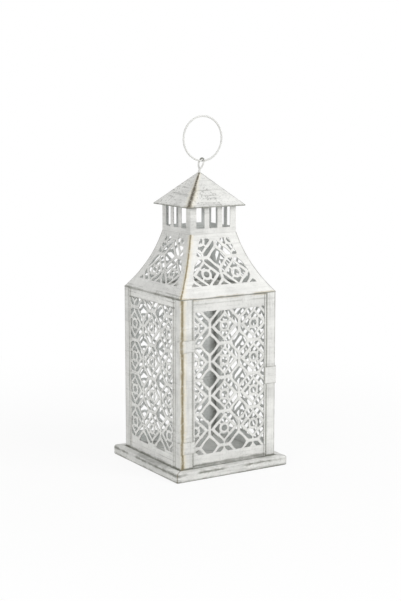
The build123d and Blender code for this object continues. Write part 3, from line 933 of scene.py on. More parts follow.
class LANTERN_OT_finishes(bpy.types.Operator):
    """Makes the whitewash finishes of sheet, fittings and wire"""

    bl_idname = "lantern.finishes"
    bl_label = "Make Finishes"

    def execute(self, context):
        _, finish = settings(context)
        trees = (brush_streak_group(), corner_wear_and_shade_group(), grime_and_shade_line_group(), mottle_group())
        groups = {tree.name: tree for tree in trees}
        foot_top = top_of("base_pan").z
        body_top = foot_of("hood_panel_front").z
        body_half = top_of("post_front_right").x
        roof_low = foot_of("roof_cap").z
        eye_top = top_of("lifting_eye").z
        unworn = dict(wear=0.0, halo_strength=0.0)
        whitewash(
            "panel_paint", groups, finish, **unworn, level=0.42, upright=0.16, specks=0.28, rim=0.6,
            tint=1.11, blotch=0.12, halo=11.0 * MM, corner_shade=0.7, lines=(
                # Dirt and painted shade in the seam where the panel meets the foot
                GrimeAndShadeLine(foot_top, spread=2.0 * MM, strength=0.8, patchy=0.3),
                GrimeAndShadeLine(foot_top + LOW_RAIL_LINE, spread=1.0 * MM, strength=0.4, patchy=0.9),
                # Dirt in the seam under the hood, with painted shadow of the hood's lower edge
                GrimeAndShadeLine(body_top - SEAM_GAP, spread=1.8 * MM, strength=0.9, patchy=0.4),
                GrimeAndShadeLine(body_top - TOP_RAIL_LINE, spread=1.0 * MM, strength=0.5, patchy=0.9),
                # Painted shadow under the top rail, along the top of the window
                GrimeAndShadeLine(body_top - TOP_RAIL_EDGE, spread=1.6 * MM, strength=0.75, patchy=0.4)))
        whitewash(
            "door_paint", groups, finish, **unworn, level=0.36, upright=0.16, specks=0.24, rim=0.65,
            blotch=0.12, lines=(
                GrimeAndShadeLine(body_top - DOOR_TOP_EDGE, spread=2.0 * MM, strength=0.5, patchy=0.9, tan=True),
                GrimeAndShadeLine(body_top - DOOR_RAIL_LINE, spread=1.0 * MM, strength=0.4, patchy=0.9),
                GrimeAndShadeLine(foot_top + DOOR_LOW_EDGE, spread=2.2 * MM, strength=0.85, patchy=0.3)))
        whitewash(
            "post_paint", groups, finish, level=0.26, upright=0.55, specks=0.20, core=2.7 * MM,
            offset=2.4 * MM, halo_strength=0.9, fold_line=0.9, rim=0.8, tint=1.04, blotch=0.16,
            corner_shade=0.9, lines=(
                # Dirt and painted shade in the seam where the post meets the foot
                GrimeAndShadeLine(foot_top + SEAM_GAP, spread=2.2 * MM, strength=1.0, patchy=0.1),
                # Dirt and painted shadow under the hood's lower edge
                GrimeAndShadeLine(body_top - SEAM_GAP, spread=1.2 * MM, strength=0.4, patchy=0.8)))
        hood = dict(level=0.30, core=1.7 * MM, offset=0.7 * MM, halo_strength=0.8, fold_line=0.8)
        whitewash(
            "hood_front_paint", groups, finish, **hood, specks=0.14, tint=1.05, lines=(
                GrimeAndShadeLine(body_top, spread=1.7 * MM, strength=0.65, patchy=0.9, tan=True),))
        whitewash(
            "hood_side_paint", groups, finish, **hood, specks=0.45, lines=(
                # Dirt and painted shade in the seam at the hood's lower edge
                GrimeAndShadeLine(body_top + HOOD_SEAM_GAP, spread=1.8 * MM, strength=0.95, patchy=0.5),
                GrimeAndShadeLine(body_top + HOOD_LINE, spread=1.1 * MM, strength=0.5, patchy=0.9)))
        whitewash(
            "foot_paint", groups, finish, level=0.75, specks=0.25, fineness=0.8, core=1.3 * MM, wear=0.7,
            halo_strength=0.0, core_tone=0.6, fold_line=0.8, blotch=0.14, lines=(
                # Dirt and painted shade round the foot, where the body stands on it
                GrimeAndShadeLine(body_half + FOOT_SEAM_GAP, spread=2.4 * MM, strength=1.0, patchy=0.1, outward=1.0),
                GrimeAndShadeLine(foot_top - FOOT_TOP_BEND, spread=2.3 * MM, strength=0.9, patchy=0.9),
                GrimeAndShadeLine(FOOT_LOW_BEND, spread=2.2 * MM, strength=0.9, patchy=0.3)))
        whitewash(
            "neck_paint", groups, finish, **unworn, level=0.34, specks=0.16, blotch=0.14, lines=(
                GrimeAndShadeLine(roof_low + SEAM_GAP, spread=1.8 * MM, strength=0.7, patchy=0.3),))
        whitewash(
            "roof_paint", groups, finish, level=0.70, specks=0.85, core=4.2 * MM, halo=9.0 * MM,
            offset=0.6 * MM, flare=1.0, halo_strength=0.75, fold_line=1.0, core_tone=0.28, blotch=0.14,
            lines=(
                GrimeAndShadeLine(roof_low + EAVE_LINE, spread=1.5 * MM, strength=0.9, patchy=0.2),))
        whitewash(
            "fitting_paint", groups, finish, level=0.4, upright=0.3, core=2.2 * MM, halo=4.6 * MM,
            offset=2.2 * MM, wear=0.85, halo_strength=0.7, rim=0.9)
        wire = dict(level=0.0, specks=0.0, tint=0.90, blotch=0.06, rim=0.0, relief=0.05)
        whitewash(
            "wire_paint", groups, finish, **unworn, **wire, lines=(
                # Dirt and painted shade inside the top of the eye's loop, where the ring hangs
                GrimeAndShadeLine(eye_top - EYE_TOP_GRIME_AND_SHADE, spread=2.6 * MM, strength=0.9, patchy=0.1),))
        whitewash("ring_paint", groups, finish, **unworn, **wire)
        return {"FINISHED"}


# Panels and door: bands without fretwork, and the first lozenge of each

BEAD_GAP = 1.8 * MM
BEAD_CREST_ROUND = 0.55 * MM
BEAD_ROOT_ROUND = 0.01 * MM
BEAD_SINK = 0.02 * MM
BEAD_STATIONS = 40
SIDE_SET_BACK = 1.6 * MM
PANEL_LOW_BAND = 12.0 * MM
PANEL_TOP_BAND = 9.5 * MM
PANEL_LOZENGE_RISE = 13.0 * MM
DOOR_LOW_BAND = 12.8 * MM
DOOR_TOP_BAND = 14.0 * MM
DOOR_LOZENGE_SIDE = 13.2 * MM
DOOR_LOZENGE_RISE = 19.6 * MM


def panel_bead(pieces, sizes, side, face, edge, low_v, high_v, seed):
    """One raised edge of a panel from bottom to top, straying a little from straight."""
    width, rise = sizes.bead_width, sizes.bead_rise
    corners = box_outline(edge, 0, edge + width, rise)
    radii = (BEAD_ROOT_ROUND, BEAD_ROOT_ROUND, BEAD_CREST_ROUND, BEAD_CREST_ROUND)
    profile = rounded(corners, radii, 5)
    z = np.linspace(low_v, high_v, BEAD_STATIONS)
    drift = 0.5 * sizes.unevenness * smooth_noise(z, 0 * z + edge, seed, RIPPLE_SIZE)
    u = profile[None, :, 0] + drift[:, None]
    v = np.repeat(z[:, None], len(profile), 1)
    w = np.repeat(profile[None, :, 1], len(z), 0)
    points = flat_side(side, face - BEAD_SINK)(u, v, w)
    root = np.clip(1.2 - w / rise, 0, 1)
    pieces.take(points, tube_faces(len(z), len(profile)), root.ravel())


def panel_with_beads(name, side, sizes, low_u, high_u, low_v, high_v, face, bead_edges, window, lozenge, seed,
                     body, finish):
    """A pierced sheet that ripples a little between its edges, with two raised edges, on one side."""
    sheet_place = flat_side(side, face - sizes.sheet / 2)

    def rippled(u, v, w):
        from_side = np.minimum(u - low_u, high_u - u)
        from_end = np.minimum(v - low_v, high_v - v)
        fade = np.clip(np.minimum(from_side, from_end) / RIPPLE_FADE, 0, 1)
        sunk = sizes.unevenness * fade * (1 + smooth_noise(u, v, seed, RIPPLE_SIZE)) / 2
        return sheet_place(u, v, w - sunk)

    pieces = Pieces()
    corners = box_outline(low_u, low_v, high_u, high_v)
    holes = fretwork_holes(window, np.array(lozenge), sizes.cell_pitch)
    sheet_with_holes(pieces, corners, holes, sizes.sheet, sizes.edge_round, rippled, SHEET_SPACING)
    for edge in bead_edges:
        panel_bead(pieces, sizes, side, face, edge, low_v, high_v, seed + 3)
    build(name, pieces, finish, body, [name])


class LANTERN_OT_panels(bpy.types.Operator):
    """Builds the three fixed panels and the door with their fretwork"""

    bl_idname = "lantern.panels"
    bl_label = "Build Panels and Door"

    def execute(self, context):
        sizes, _ = settings(context)
        low_v, high_v = foot_of("back_panel").z, top_of("back_panel").z
        body_half = top_of("post_front_right").x
        body_top = foot_of("hood_panel_front").z
        panel_half = top_of("back_panel").x
        face = body_half - sizes.sheet
        flange = top_of("post_back_right") - foot_of("post_back_right")
        for side, shift, covered, seed in (
            ("left", -SIDE_SET_BACK, flange.y, 11),
            ("right", SIDE_SET_BACK, flange.y, 23),
            ("back", 0.0, flange.x, 37),
        ):
            bead_out = body_half - covered - BEAD_GAP
            bead_in = bead_out - sizes.bead_width
            window = box_outline(
                shift - bead_in, low_v + PANEL_LOW_BAND, shift + bead_in, body_top - PANEL_TOP_BAND)
            lozenge = (shift + sizes.cell_pitch / 2, low_v + PANEL_LOZENGE_RISE)
            edges = (shift - bead_out, shift + bead_in)
            panel_with_beads(f"{side}_panel", side, sizes, -panel_half, panel_half, low_v, high_v, face,
                             edges, window, lozenge, seed, "lantern", "panel_paint")
        low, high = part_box("door_panel")
        window = box_outline(low.x + sizes.bead_width, low_v + DOOR_LOW_BAND, high.x - sizes.bead_width,
                             body_top - DOOR_TOP_BAND)
        lozenge = (DOOR_LOZENGE_SIDE, low_v + DOOR_LOZENGE_RISE)
        edges = (low.x, high.x - sizes.bead_width)
        panel_with_beads("door_panel", "front", sizes, low.x, high.x, low.z, high.z, face, edges, window,
                         lozenge, 5, "door", "door_paint")
        return {"FINISHED"}


# Posts: radii of the section's corners, and the width of the painted shade along the edge of each flange

POST_FOLD = 0.9 * MM
POST_INNER_FOLD = 0.4 * MM
POST_EDGE_ROUND = 0.25 * MM
POST_EDGE_SHADE_WIDTH = 1.5 * MM
POST_POINT_SPACING = 1.0 * MM
POST_STATIONS = 60
POST_SHARP_ANGLE = 30.0


def post_profile(half, front_flange, side_flange, sheet, across, along):
    """Angle section of a post with a rounded fold, anticlockwise, for the corner at across and along."""
    corners = np.array([
        (half, half), (half - front_flange, half), (half - front_flange, half - sheet),
        (half - sheet, half - sheet), (half - sheet, half - side_flange), (half, half - side_flange)])
    radii = (POST_FOLD, POST_EDGE_ROUND, POST_EDGE_ROUND, POST_INNER_FOLD, POST_EDGE_ROUND, POST_EDGE_ROUND)
    section = rounded(corners, radii, 6)
    section = section * np.array([across, along])
    return section if area_of(section) > 0 else section[::-1]


class LANTERN_OT_posts(bpy.types.Operator):
    """Builds the four folded corner posts"""

    bl_idname = "lantern.posts"
    bl_label = "Build Posts"

    def execute(self, context):
        sizes, _ = settings(context)
        for corner, across, along in (("front_left", -1, -1), ("front_right", 1, -1), ("back_left", -1, 1),
                                      ("back_right", 1, 1)):
            name = f"post_{corner}"
            low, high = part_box(name)
            half = max(abs(low.x), abs(high.x))
            flanges = np.array([high.x - low.x, high.y - low.y])
            section = post_profile(half, *flanges, sizes.sheet, across, along)
            section = divided(section, POST_POINT_SPACING)
            away = np.abs(section - half * np.array([across, along]))
            # Vertices near each flange's edge get the dark rim tone as painted shade along the edge
            marks = np.clip(1.3 - np.abs(flanges - away).min(1) / POST_EDGE_SHADE_WIDTH, 0, 1)
            inner = (away.min(1) > 0.6 * sizes.sheet).astype(float)
            pieces = Pieces()
            ridged_along_z(pieces, section, low.z, high.z, POST_STATIONS, across * 3 + along * 5 + 20,
                           0.4 * sizes.unevenness, marks, inner)
            build(name, pieces, "post_paint", "lantern", [name], POST_SHARP_ANGLE)
        return {"FINISHED"}


# Foot: rounding of its corners, bends and hem, and the distances of its plate's rings from the axis

FOOT_CORNER = 3.0 * MM
FOOT_TOP_ROUND = 2.2 * MM
FOOT_HEM_ROUND = 1.5 * MM
FOOT_HEM_WIDTH = 6.0 * MM
FOOT_INNER_BEND = 1.6 * MM
FOOT_SHARPEST_CORNER = 0.2 * MM
FOOT_DENTED_WIDTH = 8.0 * MM
FOOT_SHARP_ANGLE = 50.0
PLATE_RINGS = np.array([2, 8, 16, 24, 32, 40, 48, 54, 58.5, 61]) * MM


class LANTERN_OT_foot(bpy.types.Operator):
    """Builds the foot, a pan with rounded edges, and dresses the frame on the post tops"""

    bl_idname = "lantern.foot"
    bl_label = "Build Foot"

    def execute(self, context):
        sizes, _ = settings(context)
        half, height = top_of("base_pan").x, top_of("base_pan").z
        wall = sizes.sheet
        t = np.linspace(0, math.pi / 2, 7)
        top_out = half - FOOT_TOP_ROUND + FOOT_TOP_ROUND * np.sin(t)
        top_z = height - FOOT_TOP_ROUND + FOOT_TOP_ROUND * np.cos(t)
        hem_out = half - FOOT_HEM_ROUND + FOOT_HEM_ROUND * np.cos(t)
        hem_z = FOOT_HEM_ROUND - FOOT_HEM_ROUND * np.sin(t)
        under = [
            (half - FOOT_HEM_WIDTH, 0.0), (half - FOOT_HEM_WIDTH, wall), (half - FOOT_INNER_BEND, wall),
            (half - wall, FOOT_INNER_BEND), (half - wall, height - FOOT_INNER_BEND),
            (half - FOOT_INNER_BEND, height - wall)]
        under_out, under_z = np.transpose(under)
        outs = np.concatenate([PLATE_RINGS, top_out, hem_out, under_out, PLATE_RINGS[::-1]])
        level = np.ones(len(PLATE_RINGS))
        heights = np.concatenate([level * height, top_z, hem_z, under_z, level * (height - wall)])
        corners = np.clip(FOOT_CORNER - (half - outs), FOOT_SHARPEST_CORNER, None)
        x, y, z = np.moveaxis(square_rings(outs, corners, heights, 30, 6), -1, 0)
        edge_share = (np.maximum(abs(x), abs(y)) - (half - FOOT_DENTED_WIDTH)) / FOOT_DENTED_WIDTH
        sag = sizes.unevenness * np.clip(edge_share, 0, 1) * (1 + smooth_noise(x, y, 4, RIPPLE_SIZE)) / 2
        lift = np.clip(z / height, 0, 1)
        drawn_in = 1 - 0.6 * sag * lift / half
        rings = np.stack([x * drawn_in, y * drawn_in, z - sag * lift * (z > 0.5 * height)], -1)
        count, around = rings.shape[:2]
        pieces = Pieces()
        pieces.take(rings, [face[::-1] for face in tube_faces(count, around)])
        build("base_pan", pieces, "foot_paint", "lantern", ["base_pan"],
              FOOT_SHARP_ANGLE)
        dress(["head_frame"], "panel_paint")
        return {"FINISHED"}


# Hood: bands without fretwork, measured along its chord, and the ripple of its sheets

HOOD_LOW_BAND = 13.1 * MM
HOOD_TOP_BAND = 4.8 * MM
HOOD_SIDE_MARGIN = 13.0 * MM
HOOD_LOZENGE_RISE = 43.0 * MM
HOOD_RIPPLE_SIZE = 70.0 * MM
HOOD_RIPPLE_FADE = 12.0 * MM
HOOD_MITRE_START_SHARE = 0.85
HOOD_STATIONS = 24


def hood_line(sizes):
    """The hood's curve as a function of the way up its chord, and the chord's length.

    The function gives the distance from the axis, the height, and the outward normal's level and upright
    parts."""
    body_half = top_of("post_front_right").x
    neck_half = top_of("vent_gallery").x
    low, high = foot_of("hood_panel_front").z, foot_of("vent_gallery").z
    run, rise = body_half - neck_half, high - low
    chord = math.hypot(run, rise)
    half_turn = 2 * math.atan(2 * sizes.hood_hollow / chord)
    radius = chord / (2 * math.sin(half_turn))
    slope = math.atan2(rise, run)
    start = slope - half_turn

    def at(t):
        angle = slope + np.arcsin(np.clip((t - chord / 2) / radius, -1, 1))
        out = body_half + radius * (math.sin(start) - np.sin(angle))
        height = low + radius * (math.cos(start) - np.cos(angle))
        return out, height, np.sin(angle), np.cos(angle)
    return at, chord


def hood_place(sizes, turns):
    """Place function of one hood sheet: u across, v up the chord, w outwards; its sides meet in mitres."""
    at, chord = hood_line(sizes)

    def place(u, v, w):
        out, height, level, steep = at(np.clip(v, 0, chord))
        from_end = np.minimum(v, chord - v)
        fade = np.clip(from_end / HOOD_RIPPLE_FADE, 0, 1) * np.clip((out - abs(u)) / HOOD_RIPPLE_FADE, 0, 1)
        ripple = fade * (1 + smooth_noise(u, v, turns * 7 + 2, HOOD_RIPPLE_SIZE)) / 2
        w = w - sizes.sheet / 2 - sizes.unevenness * ripple
        ends = np.clip(from_end / MM, 0, 1)
        mitre = np.clip((abs(u) / out - HOOD_MITRE_START_SHARE) / (1 - HOOD_MITRE_START_SHARE), 0, 1)
        depth = out + w * level
        u = u * (1 + mitre * (depth / out - 1))
        return quarter_turned(np.stack([u, -depth, height + w * steep * ends], -1), turns)
    return place


class LANTERN_OT_hood(bpy.types.Operator):
    """Builds the four curved and pierced sheets of the hood"""

    bl_idname = "lantern.hood"
    bl_label = "Build Hood"

    def execute(self, context):
        sizes, _ = settings(context)
        at, chord = hood_line(sizes)
        body_half = top_of("post_front_right").x
        neck_half = top_of("vent_gallery").x
        run = body_half - neck_half
        wide = body_half - run * HOOD_LOW_BAND / chord - HOOD_SIDE_MARGIN
        narrow = neck_half + run * HOOD_TOP_BAND / chord - HOOD_SIDE_MARGIN
        window_top = chord - HOOD_TOP_BAND
        window = np.array([
            (-wide, HOOD_LOW_BAND), (wide, HOOD_LOW_BAND), (narrow, window_top), (-narrow, window_top)])
        holes = fretwork_holes(window, np.array([0.0, HOOD_LOZENGE_RISE]), sizes.cell_pitch)
        t = np.linspace(0, chord, HOOD_STATIONS)
        half_width = at(t)[0]
        outer = np.concatenate([np.stack([half_width, t], 1), np.stack([-half_width, t], 1)[::-1]])
        for side, turns in SIDES.items():
            pieces = Pieces()
            sheet_with_holes(pieces, outer, holes, sizes.sheet, sizes.edge_round, hood_place(sizes, turns),
                             SHEET_SPACING)
            name = f"hood_panel_{side}"
            finish = "hood_front_paint" if side in ("front", "back") else "hood_side_paint"
            build(name, pieces, finish, "lantern", [name])
        return {"FINISHED"}


# Neck: its folds and vent slots

NECK_FOLD = 0.9 * MM
NECK_SEAM = 0.01 * MM
NECK_SPACING = 1.6 * MM
VENT_SILL = 5.6 * MM
VENT_HEIGHT = 21.0 * MM
VENT_WIDTH = 9.6 * MM
VENT_PITCH = 15.5 * MM
VENT_CORNER = 0.5 * MM


class LANTERN_OT_neck(bpy.types.Operator):
    """Builds the square neck with its vent slots from one bent strip"""

    bl_idname = "lantern.neck"
    bl_label = "Build Neck"

    def execute(self, context):
        sizes, _ = settings(context)
        low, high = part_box("vent_gallery")
        half = high.x - sizes.sheet / 2
        path = [(-half, half - NECK_SEAM), (-half, -half), (half, -half), (half, half), (-half, half)]
        place, length = bent_strip(path, NECK_FOLD)
        outer = box_outline(0, low.z, length, high.z)
        sill = low.z + VENT_SILL
        holes = []
        for side in range(4):
            for column in (-1, 0, 1):
                middle = (side + 0.5) * length / 4 + column * VENT_PITCH
                left, right = middle - VENT_WIDTH / 2, middle + VENT_WIDTH / 2
                holes.append(rounded(box_outline(left, sill, right, sill + VENT_HEIGHT), VENT_CORNER, 3))
        pieces = Pieces()
        sheet_with_holes(pieces, outer, holes, sizes.sheet, sizes.edge_round, place, NECK_SPACING)
        build("vent_gallery", pieces, "neck_paint", "lantern", ["vent_gallery"])
        return {"FINISHED"}


# Roof: its slope, its lip and the hole for the eye at its tip

ROOF_RISE = 34.0 * MM
ROOF_LIP = 1.0 * MM
ROOF_TIP_HALF = 0.5 * MM
ROOF_HOLE_HALF = 1.5 * MM
ROOF_LIP_ROUND = 0.3 * MM
ROOF_RIDGE_ROUND = 0.45 * MM
ROOF_RIPPLE_SIZE = 50.0 * MM
ROOF_STATIONS = 26
ROOF_SHARP_ANGLE = 30.0

# Points of the lip below and above its outer face, inwards and upwards, as shares of its rounding
LIP_LOW_SHARES = ((5 / 3, 0.0), (0.5, 0.2), (0.0, 1.0))
LIP_HIGH_SHARES = ((0.0, -2 / 3), (4 / 15, 1 / 6))


class LANTERN_OT_roof(bpy.types.Operator):
    """Builds the pyramid roof with its lip and the hole at its tip"""

    bl_idname = "lantern.roof"
    bl_label = "Build Roof"

    def execute(self, context):
        sizes, _ = settings(context)
        low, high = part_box("roof_cap")
        half = high.x
        lip_top = low.z + ROOF_LIP
        slope = (ROOF_RISE - ROOF_LIP) / (half - ROOF_TIP_HALF)
        drop = sizes.sheet * math.hypot(1, slope)
        share = np.linspace(0, 1, ROOF_STATIONS)
        out = half - ROOF_LIP_ROUND - (half - ROOF_LIP_ROUND - ROOF_HOLE_HALF) * share
        inner = half - sizes.sheet - (half - sizes.sheet - ROOF_HOLE_HALF) * share
        lip = [(half - sizes.sheet, low.z + ROOF_LIP_ROUND / 3)]
        for level, shares in ((low.z, LIP_LOW_SHARES), (lip_top, LIP_HIGH_SHARES)):
            lip += [(half - inwards * ROOF_LIP_ROUND, level + up * ROOF_LIP_ROUND) for inwards, up in shares]
        lip_out, lip_z = np.transpose(lip)
        outs = np.concatenate([lip_out, out, inner[::-1]])
        heights = np.concatenate([
            lip_z, lip_top + (half - out) * slope, (lip_top + (half - inner) * slope - drop)[::-1]])
        rings = square_rings(outs, np.full(len(outs), ROOF_RIDGE_ROUND), heights, 30, 5)
        x, y, z = np.moveaxis(rings, -1, 0)
        reach = np.maximum(abs(x), abs(y))
        across = np.minimum(abs(x), abs(y)) / reach
        belly = np.sin(math.pi * np.clip(reach / half, 0, 1)) * (1 - across ** 2)
        sunk = 0.8 * sizes.unevenness * belly * (1.2 + smooth_noise(x, y, 9, ROOF_RIPPLE_SIZE))
        rings = np.stack([x, y, z - sunk], -1)
        count, around = rings.shape[:2]
        under = np.repeat(np.arange(count) >= count - len(inner), around)
        pieces = Pieces()
        pieces.take(rings, grid_faces(count, around, True, True), None, under)
        build("roof_cap", pieces, "roof_paint", "lantern", ["roof_cap"],
              ROOF_SHARP_ANGLE)
        return {"FINISHED"}


# Wires: the eye's wire is twisted once under its loop, and its ends lie flat under the roof's tip

EYE_WIRE = 0.85 * MM
EYE_STRAND_GAP = 0.92 * MM
EYE_CROSSING_RISE = 1.7 * MM
EYE_LOOP_RISE = 12.1 * MM
EYE_LOOP_WIDTH = 5.6 * MM
EYE_LEAN = 3.4 * MM
EYE_FOOT_REACH = 6.0 * MM
EYE_NECK_DROP = 2.5 * MM
EYE_TURN = math.radians(-60)
EYE_LOOP_SHARES = ((0.36, 0.3), (0.5, 0.62), (0.3, 0.92))
EYE_STATIONS = 150
WIRE_FACETS = 16
RING_STATIONS = 180
RING_WIRE = 1.0 * MM
RING_DRAWN_WIRE = 0.95 * MM
RING_UNEVENNESS = 0.12 * MM
RING_SHRINK = 0.1 * MM


def eye_route():
    """Middle line of the eye's wire, from one flat end through the loop to the other, turned and leaning."""
    roof_tip = foot_of("roof_cap").z + ROOF_RISE
    crossing = roof_tip + EYE_CROSSING_RISE
    foot = foot_of("lifting_eye").z + EYE_WIRE
    half = [(-EYE_FOOT_REACH, 0, foot), (-EYE_STRAND_GAP, 0, roof_tip - EYE_NECK_DROP)]
    half += [(0, -EYE_STRAND_GAP, crossing)]
    half += [(out * EYE_LOOP_WIDTH, 0, crossing + up * EYE_LOOP_RISE) for out, up in EYE_LOOP_SHARES]
    route = half + [(0, 0, crossing + EYE_LOOP_RISE)] + [(-x, -y, z) for x, y, z in reversed(half)]
    c, s = math.cos(EYE_TURN), math.sin(EYE_TURN)
    route = np.array([(x * c - y * s, x * s + y * c, z) for x, y, z in route])
    route[:, 0] += EYE_LEAN * np.clip(route[:, 2] - roof_tip, 0, None) / EYE_LOOP_RISE
    return smooth_path(route, EYE_STATIONS)


class LANTERN_OT_wires(bpy.types.Operator):
    """Builds the lifting eye and the carrying ring"""

    bl_idname = "lantern.wires"
    bl_label = "Build Wires"

    def execute(self, context):
        line = eye_route()
        way = np.gradient(line, axis=0)
        way /= np.linalg.norm(way, axis=1, keepdims=True)
        beside = np.array([-math.sin(EYE_TURN), math.cos(EYE_TURN), 0.0])
        across = beside - (way @ beside)[:, None] * way
        across /= np.linalg.norm(across, axis=1, keepdims=True)
        pieces = Pieces()
        carried(pieces, round_outline(EYE_WIRE, WIRE_FACETS), line, across, np.cross(way, across))
        build("lifting_eye", pieces, "wire_paint", "lantern", ["lifting_eye"])

        low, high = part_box("carry_ring")
        radius = (high.x - low.x) / 2 - RING_WIRE
        angles = np.arange(RING_STATIONS) * 2 * math.pi / RING_STATIONS
        radial = np.stack([np.cos(angles), 0 * angles, np.sin(angles)], 1)
        uneven = radius - RING_SHRINK + RING_UNEVENNESS * np.sin(2 * angles + 0.7)
        origins = np.array((low + high) / 2)[None] + radial * uneven[:, None]
        sideways = np.repeat([[0, 1.0, 0]], len(angles), 0)
        pieces = Pieces()
        carried(pieces, round_outline(RING_DRAWN_WIRE, WIRE_FACETS), origins, radial, sideways, closed=True)
        build("carry_ring", pieces, "ring_paint", "ring", ["carry_ring"])
        return {"FINISHED"}


# Fittings: hinges of three knuckles and two leaves, and the clasp's bent strap

HINGE_BARREL = 1.3 * MM
HINGE_BORE = 0.65 * MM
HINGE_LEAF = 0.6 * MM
KNUCKLE_GAP = 0.1 * MM
KNUCKLE_ROUND = 0.22 * MM
KNUCKLE_FACETS = 32
LEAF_GAP = 0.2 * MM
DOOR_LEAF_GAP = 0.1 * MM
TONGUE_ROOT = 0.9 * MM
DOOR_LEAF_CORNER = 1.1 * MM
POST_LEAF_CORNER = 0.9 * MM
FITTING_SPACING = 1.0 * MM
CLASP_FOLD = 0.9 * MM
CLASP_CORNER = 3.0 * MM
CLASP_SIDE_CORNER = 0.6 * MM
CLASP_SPACING = 0.6 * MM
FITTING_RIM_MARK = 0.7


class Hinge:
    """Places of one hinge: its axis in plan, its two ends and the height of each of its three knuckles."""

    def __init__(self, level):
        pin_low, pin_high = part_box(f"{level}_hinge_pin")
        joint = next(joint for joint in frame["joints"] if joint["name"] == "door_hinge")
        self.axis = joint["pos_m"][:2]
        self.bottom, self.top = pin_low.z, pin_high.z
        self.knuckle = (self.top - self.bottom) / 3

    def span(self, number):
        """Lowest and highest point of a knuckle."""
        low = self.bottom + number * self.knuckle + KNUCKLE_GAP
        high = self.bottom + (number + 1) * self.knuckle - KNUCKLE_GAP
        return low, high

    def add_knuckle(self, pieces, number):
        """Adds one barrel round the pin."""
        low, high = self.span(number)
        profile = rounded(box_outline(HINGE_BORE, low, HINGE_BARREL, high), KNUCKLE_ROUND, 3)
        revolved(pieces, profile, self.axis, KNUCKLE_FACETS)


def door_leaf(level, sizes):
    """The leaf on the door, with the middle knuckle and the tongue that holds it."""
    hinge = Hinge(level)
    name = f"{level}_hinge_door_leaf"
    pieces = Pieces()
    hinge.add_knuckle(pieces, 1)
    low, high = hinge.span(1)
    start = hinge.axis[0] + HINGE_BARREL + LEAF_GAP
    leaf = rounded(box_outline(start, hinge.bottom, top_of(name).x, hinge.top), DOOR_LEAF_CORNER, 4)
    tongue = box_outline(hinge.axis[0] + TONGUE_ROOT, low, start + LEAF_GAP, high)
    half = -(foot_of("post_front_left").y - DOOR_LEAF_GAP - HINGE_LEAF / 2)
    for shape in (leaf, tongue):
        sheet_with_holes(pieces, shape, [], HINGE_LEAF, sizes.edge_round, flat_side("front", half),
                         FITTING_SPACING, FITTING_RIM_MARK)
    build(name, pieces, "fitting_paint", "door", [name])


def post_leaf(level, sizes):
    """The leaf on the post, with the outer knuckles and the two tongues that hold them."""
    hinge = Hinge(level)
    name = f"{level}_hinge_post_leaf"
    pieces = Pieces()
    for number in (0, 2):
        hinge.add_knuckle(pieces, number)
    half = -(foot_of("post_front_left").x - HINGE_LEAF / 2)
    end = -(hinge.axis[1] + HINGE_BARREL + LEAF_GAP)
    shapes = [rounded(box_outline(-top_of(name).y, hinge.bottom, end, hinge.top), POST_LEAF_CORNER, 4)]
    for number in (0, 2):
        low, high = hinge.span(number)
        shapes.append(box_outline(end - LEAF_GAP, low, -(hinge.axis[1] + TONGUE_ROOT), high))
    for shape in shapes:
        sheet_with_holes(pieces, shape, [], HINGE_LEAF, sizes.edge_round, flat_side("left", half),
                         FITTING_SPACING, FITTING_RIM_MARK)
    build(name, pieces, "fitting_paint", "lantern", [name])


def clasp(sizes):
    """The strap on the door that wraps round the latch post."""
    low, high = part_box("door_clasp")
    half = sizes.sheet / 2
    path = [(low.x, low.y + half), (high.x - half, low.y + half), (high.x - half, high.y)]
    place, length = bent_strip(path, CLASP_FOLD)
    radii = (CLASP_SIDE_CORNER, CLASP_CORNER, CLASP_CORNER, CLASP_SIDE_CORNER)
    outline = rounded(box_outline(0, low.z, length, high.z), radii, 6)
    pieces = Pieces()
    sheet_with_holes(pieces, outline, [], sizes.sheet, sizes.edge_round, place, CLASP_SPACING,
                     FITTING_RIM_MARK)
    build("door_clasp", pieces, "fitting_paint", "door", ["door_clasp"])


class LANTERN_OT_fittings(bpy.types.Operator):
    """Builds the hinges and the clasp of the door"""

    bl_idname = "lantern.fittings"
    bl_label = "Build Fittings"

    def execute(self, context):
        sizes, _ = settings(context)
        for level in ("upper", "lower"):
            door_leaf(level, sizes)
            post_leaf(level, sizes)
        dress(["upper_hinge_pin", "lower_hinge_pin"], "wire_paint")
        clasp(sizes)
        return {"FINISHED"}


# Stage, in metres: the floor, the lamps and the camera that matches the photograph

FLOOR_REACH = 6.0
FLOOR_COLOUR = (0.86, 0.86, 0.85, 1.0)
FLOOR_NEAR = 0.12
FLOOR_FAR = 0.60
FLOOR_NEAR_WHITE_SHARE = 0.88
WHITE = (1.0, 1.0, 1.0, 1.0)
ROOM_LIGHT = 0.42
LAMP_AIM = (0.0, 0.0, 0.17)
LAMPS = (
    ("key_lamp", (0.75, -1.35, 0.95), 0.9, 15.0),
    ("left_lamp", (-1.5, -0.55, 0.6), 1.1, 7.5),
    ("top_lamp", (0.1, 0.3, 1.9), 1.2, 9.0),
)
CAMERA_AZIMUTH = math.radians(-31.74)
CAMERA_ELEVATION = math.radians(9.14)
CAMERA_DISTANCE = 1404.3 * MM
CAMERA_TARGET_RISE = 171.2 * MM
CAMERA_TARGET_SIDE = 1.5 * MM
CAMERA_SENSOR = 36.0
CAMERA_LENS = 80.31
CAMERA_NEAREST = 0.01


def seen_directly(s):
    """Share of a ray that comes from the camera, a mirror or through glass, so that it sees plain white."""
    rays = s.node("ShaderNodeLightPath")
    bent = s.math("MAXIMUM", rays.outputs["Is Glossy Ray"], rays.outputs["Is Transmission Ray"])
    return s.math("MAXIMUM", rays.outputs["Is Camera Ray"], bent)


